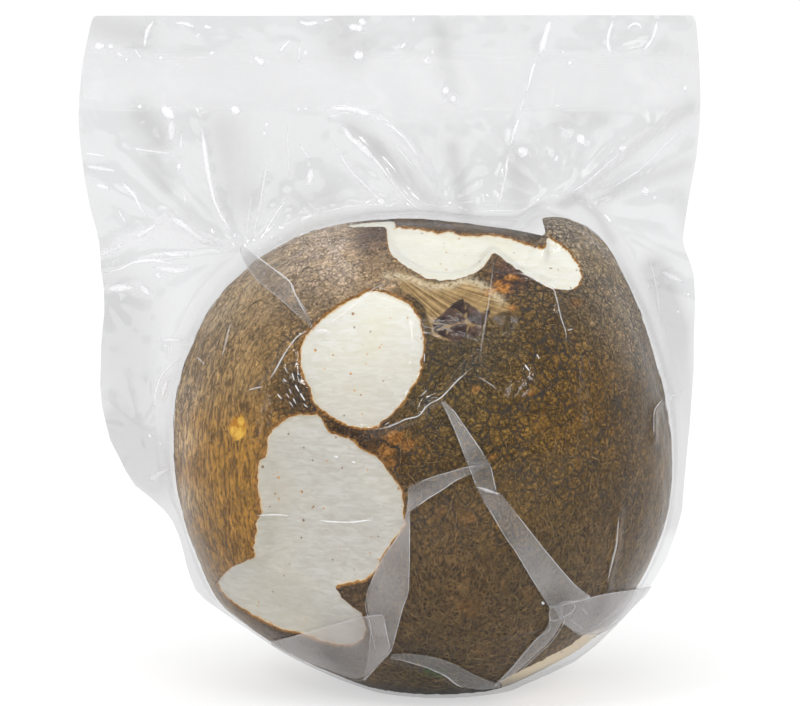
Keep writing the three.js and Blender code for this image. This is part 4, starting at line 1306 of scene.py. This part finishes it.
def corm_material():
    m = Nodes("corm_bark_and_flesh")
    obj = m.coord()
    wo = wander(m, obj)
    tint = m.attr("tint", True)
    crack = m.attr("crack")
    flank = m.attr("flank")
    low = m.attr("low")
    flesh = m.attr("flesh")
    times = lambda k: m.mix(1.0, tint, k, 'MULTIPLY')
    inv = lambda x: m.math('SUBTRACT', 1.0, x)

    # scales of bark between cracks
    dA = m.vor(wo, 325, 'DISTANCE_TO_EDGE')
    cA = m.vor(wo, 325, 'F1', 'Color')
    dB = m.vor(wo, 850, 'DISTANCE_TO_EDGE')
    open_ = m.step(m.noise(obj, 75, 2, 0.5), 0.36, 0.60)
    lineA = m.math('MULTIPLY', m.step(dA, 0.095, 0.015), m.math('MULTIPLY_ADD', open_, 0.60, 0.32))
    lineB = m.math('MULTIPLY', m.step(dB, 0.17, 0.02), 0.62)
    g1 = m.noise(obj, 1150, 3, 0.68)
    g2 = m.noise(obj, 320, 3, 0.6, 0.4)
    g3 = m.noise(obj, 2300, 2, 0.6)
    calm = m.attr("calm")
    lineA = m.math('MULTIPLY', lineA, m.math('MULTIPLY_ADD', calm, -0.80, 1.0))
    lineB = m.math('MULTIPLY', lineB, m.math('MULTIPLY_ADD', calm, -0.40, 1.0))
    cells = m.mix(m.step(g1, 0.41, 0.59), times((0.52, 0.50, 0.46)), times((1.78, 1.76, 1.68)))
    mott = m.noise(obj, 430, 3, 0.62, 0.6)
    cells = m.mix(m.math('MULTIPLY', m.step(mott, 0.47, 0.56), m.math('MULTIPLY', calm, 0.50)), cells, times((1.75, 1.74, 1.74)))
    cells = m.mix(m.math('MULTIPLY', m.step(mott, 0.44, 0.36), m.math('MULTIPLY', calm, 0.60)), cells, times((0.46, 0.42, 0.38)))
    cells = m.mix(m.math('MULTIPLY', m.step(g3, 0.56, 0.66), 0.78), cells, times((2.9, 2.8, 2.5)))
    sepc = m.n('ShaderNodeSeparateColor'); m.link(cA, sepc.inputs[0])
    cells = m.mix(m.math('MULTIPLY', m.step(sepc.outputs[0], 0.55, 1.0), 0.45), cells, times((1.9, 1.7, 1.2)))
    cells = m.mix(m.math('MULTIPLY', m.step(sepc.outputs[1], 0.6, 1.0), 0.45), cells, times((0.62, 0.62, 0.66)))
    # painted highlight along the raised rims of the bark scales
    scale_rim_highlight = m.math('MULTIPLY', m.step(dA, 0.10, 0.16), m.step(dA, 0.32, 0.20))
    cells = m.mix(m.math('MULTIPLY', scale_rim_highlight, m.math('MULTIPLY', m.step(g1, 0.45, 0.60), 0.60)), cells, times((2.7, 2.6, 2.4)))
    cells = m.mix(lineB, cells, times((0.30, 0.29, 0.30)))
    cells = m.mix(m.math('MULTIPLY', lineA, 0.90), cells, (0.030, 0.028, 0.027))

    # the matted lower part
    mat_ = scaled(m, wo, (1, 1, 0.42))
    h1 = m.noise(mat_, 1200, 3, 0.62, 0.4)
    h2 = m.noise(scaled(m, wo, (0.6, 1, 0.8)), 1350, 3, 0.6, 0.4)
    h3 = m.noise(obj, 210, 3, 0.6, 0.3)
    matted = m.mix(m.step(h1, 0.44, 0.57), times((0.44, 0.42, 0.39)), times((1.95, 1.90, 1.78)))
    matted = m.mix(m.math('MULTIPLY', m.step(h2, 0.56, 0.63), 0.66), matted, times((3.5, 3.2, 2.6)))
    matted = m.mix(m.math('MULTIPLY', m.step(h2, 0.44, 0.37), 0.62), matted, times((0.26, 0.25, 0.24)))
    matted = m.mix(m.math('MULTIPLY', m.step(h3, 0.55, 0.68), 0.40), matted, times((1.7, 1.45, 0.95)))
    matted = m.mix(m.math('MULTIPLY', lineA, 0.35), matted, (0.020, 0.018, 0.017))

    # the fibrous flanks
    tall = scaled(m, wo, (1, 1, 0.17))
    f1 = m.noise(tall, 1150, 3, 0.62, 0.3)
    f2 = m.noise(scaled(m, wo, (1, 1, 0.30)), 700, 3, 0.62, 0.3)
    f3 = m.noise(scaled(m, wo, (1, 1, 0.5)), 1700, 3, 0.6)
    fibres = m.mix(m.step(f1, 0.40, 0.60), times((0.54, 0.51, 0.46)), times((1.82, 1.80, 1.70)))
    fibres = m.mix(m.math('MULTIPLY', m.step(f2, 0.55, 0.68), 0.70), fibres, times((2.6, 2.55, 2.2)))
    fibres = m.mix(m.math('MULTIPLY', m.step(f2, 0.44, 0.33), 0.60), fibres, times((0.42, 0.38, 0.34)))
    fibres = m.mix(m.math('MULTIPLY', m.step(f3, 0.58, 0.70), 0.55), fibres, times((2.8, 2.75, 2.4)))
    fibres = m.mix(m.math('MULTIPLY', m.step(f3, 0.40, 0.30), 0.45), fibres, times((0.36, 0.34, 0.32)))

    bark = m.mix(m.math('MULTIPLY', low, 0.80), cells, matted)
    bark = m.mix(m.math('MULTIPLY', flank, 0.90), bark, fibres)
    bark = m.mix(m.math('MULTIPLY', m.step(crack, 0.20, 0.90), 0.7), bark, (0.014, 0.012, 0.011))

    # peeled zone with its veil, its fan of fibres, the dark plate and veins
    peel = m.attr("peel")
    fan = m.n('ShaderNodeTexNoise', noise_dimensions='1D')
    m.link(m.attr("fan"), fan.inputs['W'])
    fan.inputs['Scale'].default_value = 1.0
    fan.inputs['Detail'].default_value = 4.0
    fan.inputs['Roughness'].default_value = 0.75
    fr = m.math('ADD', m.math('MULTIPLY', fan.outputs['Fac'], 0.7), m.math('MULTIPLY', g2, 0.3))
    tan = m.mix(m.step(fr, 0.37, 0.64), srgb(124, 96, 56), srgb(204, 172, 118))
    bark = m.mix(m.math('MULTIPLY', m.step(peel, -1.6, 2.2), 0.90), bark, tan)
    plate = m.attr("plate")
    pl = m.mix(m.step(g2, 0.35, 0.65), srgb(46, 33, 31), srgb(92, 70, 58))
    bark = m.mix(m.step(plate, -0.8, 1.2), bark, pl)
    vein = m.attr("vein")
    bark = m.mix(m.math('MULTIPLY', m.step(vein, 1.3, 0.3), m.math('MULTIPLY', m.step(peel, -2, 0), 0.85)), bark, srgb(172, 142, 92))
    veil = m.math('MULTIPLY', m.attr("veil"), m.step(g1, 0.30, 0.55))
    bark = m.mix(m.math('MULTIPLY', veil, 0.92), bark, srgb(216, 200, 168))
    orange = m.attr("orange")
    bark = m.mix(m.math('MULTIPLY', orange, 0.86), bark, m.mix(m.step(g1, 0.38, 0.60), srgb(134, 84, 30), srgb(208, 142, 66)))
    bud = m.attr("bud")
    bark = m.mix(m.step(bud, -0.5, 0.5), bark, m.mix(m.step(g2, 0.40, 0.62), srgb(178, 116, 22), srgb(226, 178, 72)))
    leaf = m.attr("leaf")
    bark = m.mix(leaf, bark, m.mix(m.step(g1, 0.3, 0.7), srgb(22, 46, 6), srgb(60, 100, 18)))

    # flesh: pale, finely streaked, with specks
    streak = m.noise(m.coord((1, 1, 3.6)), 260, 4, 0.6, 0.8)
    soft = m.noise(obj, 45, 3, 0.5)
    # painted shade: lit and shaded copies of the flesh colour, darker towards the bottom
    flesh_shade = m.attr("flesh_painted_shade")
    pale = m.mix(flesh_shade, srgb(231, 231, 224), srgb(203, 200, 192))
    pale2 = m.mix(flesh_shade, srgb(224, 221, 205), srgb(186, 181, 170))
    fl = m.mix(m.step(streak, 0.30, 0.72), pale2, pale)
    fl = m.mix(m.math('MULTIPLY', m.step(soft, 0.45, 0.70), 0.35), fl, m.mix(flesh_shade, srgb(228, 221, 188), srgb(196, 188, 162)))
    fl = m.mix(m.attr("cream"), fl, srgb(226, 206, 172))
    dots = 0
    for sc_, lo, hi, kn in ((235, 0.12, 0.07, 0.40), (420, 0.14, 0.08, 0.50)):
        keep = m.step(m.noise(obj, 140 + sc_ * 0.1, 1, 0.5), kn, kn + 0.03)
        d = m.math('MULTIPLY', m.step(m.vor(obj, sc_), lo, hi), keep)
        dots = d if dots == 0 else m.math('MAXIMUM', dots, d)
    fl = m.mix(m.math('MULTIPLY', dots, 0.85), fl, m.mix(m.step(g2, 0.44, 0.56), srgb(110, 72, 30), srgb(206, 146, 62)))
    # rim: thin orange-brown skin edge
    rim = m.mix(m.step(g1, 0.35, 0.65), srgb(112, 74, 34), srgb(176, 124, 62))
    col = m.mix(m.step(flesh, -2.7, -1.2), bark, rim)
    stain = m.mix(m.step(flesh, 0.3, 1.8), m.mix(m.step(g2, 0.4, 0.6), srgb(226, 200, 156), srgb(206, 160, 96)), fl)
    isf = m.step(flesh, -0.35, 0.45)
    col = m.mix(isf, col, stain)
    # painted shade: the skin darkened near the floor
    ground = m.attr("ground")
    col = m.mix(m.math('MULTIPLY', ground, 0.7), col, (0.010, 0.009, 0.008))

    hA = m.math('ADD', m.math('MULTIPLY', m.step(dA, 0.0, 0.28), 1.2), m.math('MULTIPLY', g1, 0.9))
    hL = m.math('MULTIPLY', h1, 1.9)
    hF = m.math('MULTIPLY', f1, 1.8)

    def fmix(fac, a, b):
        nd = m.n('ShaderNodeMix', data_type='FLOAT')
        m.link(fac, nd.inputs[0]); m.link(a, nd.inputs[2]); m.link(b, nd.inputs[3])
        return nd.outputs[0]
    hgt = fmix(flank, fmix(low, hA, hL), hF)
    hgt = fmix(isf, hgt, m.math('MULTIPLY', g1, 0.10))
    nrm = m.bump(hgt, 0.85, 0.00055)
    bs = m.n('ShaderNodeBsdfPrincipled')
    m.link(col, bs.inputs['Base Color'])
    rough = m.n('ShaderNodeMix', data_type='FLOAT')
    m.link(isf, rough.inputs[0]); rough.inputs[2].default_value = 0.75; rough.inputs[3].default_value = 0.42
    m.link(rough.outputs[0], bs.inputs['Roughness'])
    bs.inputs['Specular IOR Level'].default_value = 0.30
    m.link(nrm, bs.inputs['Normal'])
    m.link(bs.outputs[0], m.out.inputs['Surface'])
    return m.mat


def film_material(name, tint, haze, f0, rough=0.06, band=False, milk=(0.86, 0.86, 0.88), grazing=0.55, pressed=False):
    m = Nodes(name)
    lw = m.n('ShaderNodeLayerWeight')
    lw.inputs['Blend'].default_value = 0.5
    obj = m.coord()
    wob = m.noise(obj, 140, 2, 0.5)
    h = wob
    if pressed:
        relief = m.math('MULTIPLY', m.noise(obj, 480, 1.5, 0.5), 1.6)
        h = m.math('ADD', wob, m.math('MULTIPLY', m.math('MULTIPLY', relief, m.attr("bark")), 0.75))
    if band:
        sep = m.n('ShaderNodeSeparateXYZ')
        m.link(obj, sep.inputs[0])
        a = m.math('SINE', m.math('MULTIPLY', m.math('ADD', sep.outputs[0], sep.outputs[2]), 4900.0))
        b = m.math('SINE', m.math('MULTIPLY', m.math('SUBTRACT', sep.outputs[0], sep.outputs[2]), 4900.0))
        net = m.math('MULTIPLY', m.math('MULTIPLY', a, b), m.attr("band"))
        h = m.math('ADD', h, m.math('MULTIPLY', net, 0.30))
    nrm = m.bump(h, 0.55, 0.0004)
    m.link(nrm, lw.inputs['Normal'])
    # reflection grows towards grazing, the same from both sides
    f5 = m.math('POWER', lw.outputs['Facing'], 4.0)
    # painted highlights: the 'shine' attribute scales the film's facing reflection
    fr = m.math('ADD', m.math('MULTIPLY', f5, grazing), m.math('MULTIPLY', m.attr("shine"), f0) if band else f0, clamp=True)
    # painted shade: less reflection near the base
    if band:
        fr = m.math('MULTIPLY', fr, m.math('MULTIPLY_ADD', m.attr("base_painted_shade"), -0.75, 1.0))
    tr = m.n('ShaderNodeBsdfTransparent')
    plain = m.n('ShaderNodeLayerWeight')
    plain.inputs['Blend'].default_value = 0.5
    if band:
        tint = m.mix(m.attr("flat"), tuple(min(1.0, x * 1.037) for x in tint), tint)
        edge = m.mix(1.0, tint, (0.84, 0.84, 0.845), 'MULTIPLY')
    else:
        edge = tuple(x * 0.70 for x in tint)
    tcol = m.mix(m.math('POWER', plain.outputs['Facing'], 2.5), tint, edge)
    # painted shade: the 'shade' attribute darkens what the film lets through
    if band:
        tcol = m.mix(m.attr("shade"), tcol, m.mix(1.0, tcol, (0.875, 0.872, 0.870), 'MULTIPLY'))
    m.link(tcol, tr.inputs['Color'])
    gl = m.n('ShaderNodeBsdfGlossy')
    gl.inputs['Roughness'].default_value = rough
    gl.inputs['Color'].default_value = (1, 1, 1, 1)
    m.link(nrm, gl.inputs['Normal'])
    mx = m.n('ShaderNodeMixShader')
    m.link(fr, mx.inputs[0]); m.link(tr.outputs[0], mx.inputs[1]); m.link(gl.outputs[0], mx.inputs[2])
    df = m.n('ShaderNodeBsdfDiffuse'); df.inputs['Color'].default_value = (*milk, 1)
    tl = m.n('ShaderNodeBsdfTranslucent'); tl.inputs['Color'].default_value = (*milk, 1)
    mm = m.n('ShaderNodeMixShader'); mm.inputs[0].default_value = 0.5
    m.link(df.outputs[0], mm.inputs[1]); m.link(tl.outputs[0], mm.inputs[2])
    m2 = m.n('ShaderNodeMixShader')
    cloud = m.noise(obj, 60, 1, 0.55)
    hz = m.math('MULTIPLY', m.step(cloud, 0.25, 0.8), haze * 1.1)
    hz = m.math('ADD', hz, haze * 0.45)
    if band:
        hz = m.math('MULTIPLY', hz, m.math('MULTIPLY_ADD', m.attr("flat"), 0.72, 0.28))
        hz = m.math('ADD', hz, m.math('MULTIPLY', m.attr("band"), 0.07))
        # painted highlights: the 'white' attribute whitens the film
        hz = m.math('ADD', hz, m.math('MULTIPLY', m.attr("white"), 0.62), clamp=True)
    m.link(hz, m2.inputs[0])
    m.link(mx.outputs[0], m2.inputs[1]); m.link(mm.outputs[0], m2.inputs[2])
    m.link(m2.outputs[0], m.out.inputs['Surface'])
    return m.mat


def crease_highlight_material():
    """painted highlight along a crease: milky white along its crest, clear at its sides"""
    m = Nodes("film_crease_painted_highlight")
    obj = m.coord()
    core = m.attr("core")
    lit = m.attr("lit")
    n1 = m.noise(obj, 420, 3, 0.6)
    k = m.math('MULTIPLY', m.math('POWER', core, 2.6), lit)
    k = m.math('MULTIPLY', k, m.math('MULTIPLY_ADD', m.step(n1, 0.30, 0.55), 0.35, 0.65), clamp=True)
    tr = m.n('ShaderNodeBsdfTransparent')
    tr.inputs['Color'].default_value = (0.985, 0.985, 0.99, 1)
    df = m.n('ShaderNodeBsdfDiffuse'); df.inputs['Color'].default_value = (0.97, 0.97, 0.98, 1)
    tl = m.n('ShaderNodeBsdfTranslucent'); tl.inputs['Color'].default_value = (0.97, 0.97, 0.98, 1)
    mm = m.n('ShaderNodeMixShader'); mm.inputs[0].default_value = 0.35
    m.link(df.outputs[0], mm.inputs[1]); m.link(tl.outputs[0], mm.inputs[2])
    gl = m.n('ShaderNodeBsdfGlossy')
    gl.inputs['Roughness'].default_value = 0.12
    m.link(m.bump(n1, 0.3, 0.0002), gl.inputs['Normal'])
    m1 = m.n('ShaderNodeMixShader')
    m.link(k, m1.inputs[0]); m.link(tr.outputs[0], m1.inputs[1]); m.link(mm.outputs[0], m1.inputs[2])
    m2 = m.n('ShaderNodeMixShader')
    m.link(m.math('MULTIPLY', k, 0.06), m2.inputs[0]); m.link(m1.outputs[0], m2.inputs[1]); m.link(gl.outputs[0], m2.inputs[2])
    m.link(m2.outputs[0], m.out.inputs['Surface'])
    return m.mat


def hair_material():
    m = Nodes("root_hair_fibre")
    obj = m.coord()
    g = m.noise(obj, 500, 3, 0.6)
    sh = m.attr("shade")
    c = m.mix(sh, srgb(96, 72, 40), srgb(178, 146, 92))
    c = m.mix(m.math('MULTIPLY', m.step(g, 0.6, 0.4), 0.6), c, srgb(60, 44, 26))
    bs = m.n('ShaderNodeBsdfPrincipled')
    m.link(c, bs.inputs['Base Color'])
    bs.inputs['Roughness'].default_value = 0.7
    m.link(m.bump(g, 0.5, 0.0002), bs.inputs['Normal'])
    m.link(bs.outputs[0], m.out.inputs['Surface'])
    return m.mat


# ------------------------------------------------------------------ make everything
corm = make_corm()
corm.data.materials.append(corm_material())
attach(corm, "root"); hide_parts("taro_corm")

hair_look = hair_material()
hairs = make_hairs("root_hairs", 2200, 12, 23, 0.05, 0.11, False)
hairs.data.materials.append(hair_look)
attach(hairs, "root")
fuzz = make_hairs("root_hairs_fine", 3600, 8, 29, 0.04, 0.08, True)
fuzz.data.materials.append(hair_look)
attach(fuzz, "root")

front = make_film(-1)
front.data.materials.append(film_material("film_front", (0.893, 0.895, 0.899), 0.034, 0.045, band=True, pressed=True))
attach(front, "root"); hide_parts("pouch_front_film")
back = make_film(1)
back.data.materials.append(film_material("film_back", (0.893, 0.895, 0.899), 0.034, 0.045, band=True, pressed=True))
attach(back, "root"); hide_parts("pouch_back_film")

cast = Cast(front)
# painted highlights along the creases listed above
rows = [crease(cast, pts, hw * (1.5 if k < ON_CORM else 1.15), lit) for k, (pts, hw, lit) in enumerate(CREASE_HIGHLIGHTS)]
# painted highlight lines along both long edges of each ribbon and pleat
for a, b in RIBBONS:
    rows += [crease(cast, a, 0.16, 0.42, 0.95), crease(cast, b, 0.18, 0.50, 0.95)]
for a, b in PLEATS:
    rows += [crease(cast, a, 0.15, 0.38, 0.80), crease(cast, b, 0.16, 0.45, 0.80)]
rows = [r for r in rows if r is not None]
v, f = join([(r[0], r[1]) for r in rows])
lines = build("film_crease_highlights", v, f)
attr(lines, "core", np.concatenate([r[2] for r in rows]))
attr(lines, "lit", np.concatenate([r[3] for r in rows]))
lines.data.materials.append(crease_highlight_material())
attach(lines, "root")

# painted highlights along the back film's folds
behind = Cast(back)
rows = []
for k, (a, b, c, L, ph, amp) in enumerate(BACK_FOLDS):
    t = np.linspace(-L, L, int(14 + 40 * L))
    off = -0.08 * np.sin(6 * t + ph)
    dirs = a * np.sqrt(np.clip(1 - t ** 2 - off ** 2, 0.05, 1))[:, None] + b * t[:, None] + c * off[:, None]
    rows.append(crease(None, None, 0.32 + 0.28 * amp, 0.16 + 0.20 * amp, laid=lay_round(behind, dirs, 0.22)))
rows = [r for r in rows if r is not None]
v, f = join([(r[0], r[1]) for r in rows])
hind = build("film_crease_highlights_back", v, f)
attr(hind, "core", np.concatenate([r[2] for r in rows]))
attr(hind, "lit", np.concatenate([r[3] for r in rows]))
hind.data.materials.append(lines.data.materials[0])
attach(hind, "root")

parts = [ribbon_mesh(cast, a, b, 0.55, 0.35) for a, b in RIBBONS]
v, f = join(parts)
ribbons = build("film_ribbons", v, f)
ribbons.data.materials.append(film_material("film_ribbon", (0.93, 0.925, 0.925), 0.155, 0.03, rough=0.12, milk=(0.97, 0.96, 0.96), grazing=0.6))
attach(ribbons, "root")

parts = [ribbon_mesh(cast, a, b, 0.50, 0.25, ns=40, nw=14) for k, (a, b) in enumerate(PLEATS) if k < 3]
v, f = join(parts)
pleats = build("film_pleats", v, f)
pleats.data.materials.append(film_material("film_pleat", (0.945, 0.930, 0.925), 0.165, 0.02, rough=0.12, milk=(0.97, 0.95, 0.94), grazing=0.5))
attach(pleats, "root")
v, f = join([ribbon_mesh(cast, PLEATS[4][0], PLEATS[4][1], 0.50, 0.20, ns=40, nw=14),
             ribbon_mesh(cast, LIFT[0], LIFT[1], 0.42, 0.15, ns=40, nw=8)])
thin = build("film_shoulder_pleat", v, f)
thin.data.materials.append(film_material("film_thin_pleat", (0.94, 0.935, 0.935), 0.070, 0.015, rough=0.12, milk=(0.93, 0.93, 0.94), grazing=0.4))
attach(thin, "root")
v, f = ribbon_mesh(cast, PLEATS[3][0], PLEATS[3][1], 0.50, 0.30, ns=40, nw=14)
tuck = build("film_corner_tuck", v, f)
tuck.data.materials.append(film_material("film_tuck", (0.965, 0.96, 0.965), 0.20, 0.02, rough=0.12, milk=(0.99, 0.98, 1.0), grazing=0.6))
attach(tuck, "root")

# ------------------------------------------------------------------ floor, light, camera
me = bpy.data.meshes.new("floor")
L = 60.0
me.from_pydata([(-L, -L, -0.0005), (L, -L, -0.0005), (L, L, -0.0005), (-L, L, -0.0005)], [], [(0, 1, 2, 3)])
floor = bpy.data.objects.new("floor", me)
bpy.context.scene.collection.objects.link(floor)
fm = Nodes("pale_floor")
fb = fm.n('ShaderNodeBsdfDiffuse')
fb.inputs['Color'].default_value = (0.93, 0.93, 0.93, 1)
fe = fm.n('ShaderNodeEmission')
fe.inputs['Color'].default_value = (1, 1, 1, 1)
fx = fm.n('ShaderNodeMixShader')
fx.inputs[0].default_value = 0.55
fm.link(fb.outputs[0], fx.inputs[1]); fm.link(fe.outputs[0], fx.inputs[2])
fm.link(fx.outputs[0], fm.out.inputs['Surface'])
floor.data.materials.append(fm.mat)

world = bpy.data.worlds.new("studio")
bpy.context.scene.world = world
world.use_nodes = True
wt = world.node_tree
bg = wt.nodes["Background"]
bg.inputs[1].default_value = 1.0
# what the film mirrors: a dim room in front, white behind
tc = wt.nodes.new('ShaderNodeTexCoord')
sp = wt.nodes.new('ShaderNodeSeparateXYZ')
wt.links.new(tc.outputs['Generated'], sp.inputs[0])
mr = wt.nodes.new('ShaderNodeMapRange')
mr.interpolation_type = 'SMOOTHSTEP'
wt.links.new(sp.outputs[1], mr.inputs['Value'])
mr.inputs['From Min'].default_value = -0.75
mr.inputs['From Max'].default_value = 0.35
mr.inputs['To Min'].default_value = 0.16
mr.inputs['To Max'].default_value = 1.0
lp = wt.nodes.new('ShaderNodeLightPath')
mc = wt.nodes.new('ShaderNodeMix')
mc.data_type = 'RGBA'
wt.links.new(lp.outputs['Is Glossy Ray'], mc.inputs[0])
mc.inputs[6].default_value = (1, 1, 1, 1)
wt.links.new(mr.outputs['Result'], mc.inputs[7])
# light on matt things: stronger from above
mz = wt.nodes.new('ShaderNodeMapRange')
mz.interpolation_type = 'SMOOTHSTEP'
wt.links.new(sp.outputs[2], mz.inputs['Value'])
mz.inputs['From Min'].default_value = -0.30
mz.inputs['From Max'].default_value = 0.95
mz.inputs['To Min'].default_value = 0.74
mz.inputs['To Max'].default_value = 1.26
md = wt.nodes.new('ShaderNodeMix')
md.data_type = 'RGBA'
wt.links.new(lp.outputs['Is Diffuse Ray'], md.inputs[0])
wt.links.new(mc.outputs[2], md.inputs[6])
wt.links.new(mz.outputs['Result'], md.inputs[7])
wt.links.new(md.outputs[2], bg.inputs[0])


def area(name, loc, target, size, power, color=(1, 1, 1), shape='RECTANGLE', size_y=None):
    l = bpy.data.lights.new(name, 'AREA')
    l.energy = power
    l.color = color
    l.shape = shape
    l.size = size
    if size_y:
        l.size_y = size_y
    o = bpy.data.objects.new(name, l)
    o.location = loc
    d = Vector(target) - Vector(loc)
    o.rotation_euler = d.to_track_quat('-Z', 'Y').to_euler()
    bpy.context.scene.collection.objects.link(o)
    o.visible_camera = False
    return o


area("key", (-0.50, -0.65, 0.80), (0, 0, 0.08), 0.17, 1.5, size_y=0.17)
area("key_right", (0.48, -0.70, 0.62), (0, 0, 0.10), 0.12, 0.7, size_y=0.12)
area("top_strip", (0.0, -0.45, 1.05), (0, 0, 0.08), 0.55, 1.2, size_y=0.06)
area("left_strip", (-0.90, -0.40, 0.30), (0, 0, 0.10), 0.06, 0.4, size_y=0.50)
area("right_strip", (0.90, -0.30, 0.35), (0, 0, 0.10), 0.05, 0.22, size_y=0.50)
area("soft_front", (-0.30, -1.15, 0.62), (0, 0, 0.12), 0.45, 1.0, size_y=0.35)

cam_d = bpy.data.cameras.new("camera")
cam = bpy.data.objects.new("camera", cam_d)
bpy.context.scene.collection.objects.link(cam)
cam.location = to_m(EYE).tolist()
cam.rotation_euler = (math.radians(90) - ELEV, 0, 0)
cam_d.sensor_width = 36.0
cam_d.lens = 150.0
cam_d.clip_end = 200
bpy.context.scene.camera = cam
sc = bpy.context.scene
sc.view_settings.view_transform = 'Standard'
sc.view_settings.look = 'None'
sc.view_settings.exposure = 0.0
sc.cycles.transparent_max_bounces = 32
sc.cycles.max_bounces = 5
sc.cycles.diffuse_bounces = 2
sc.cycles.glossy_bounces = 2
sc.cycles.transmission_bounces = 2
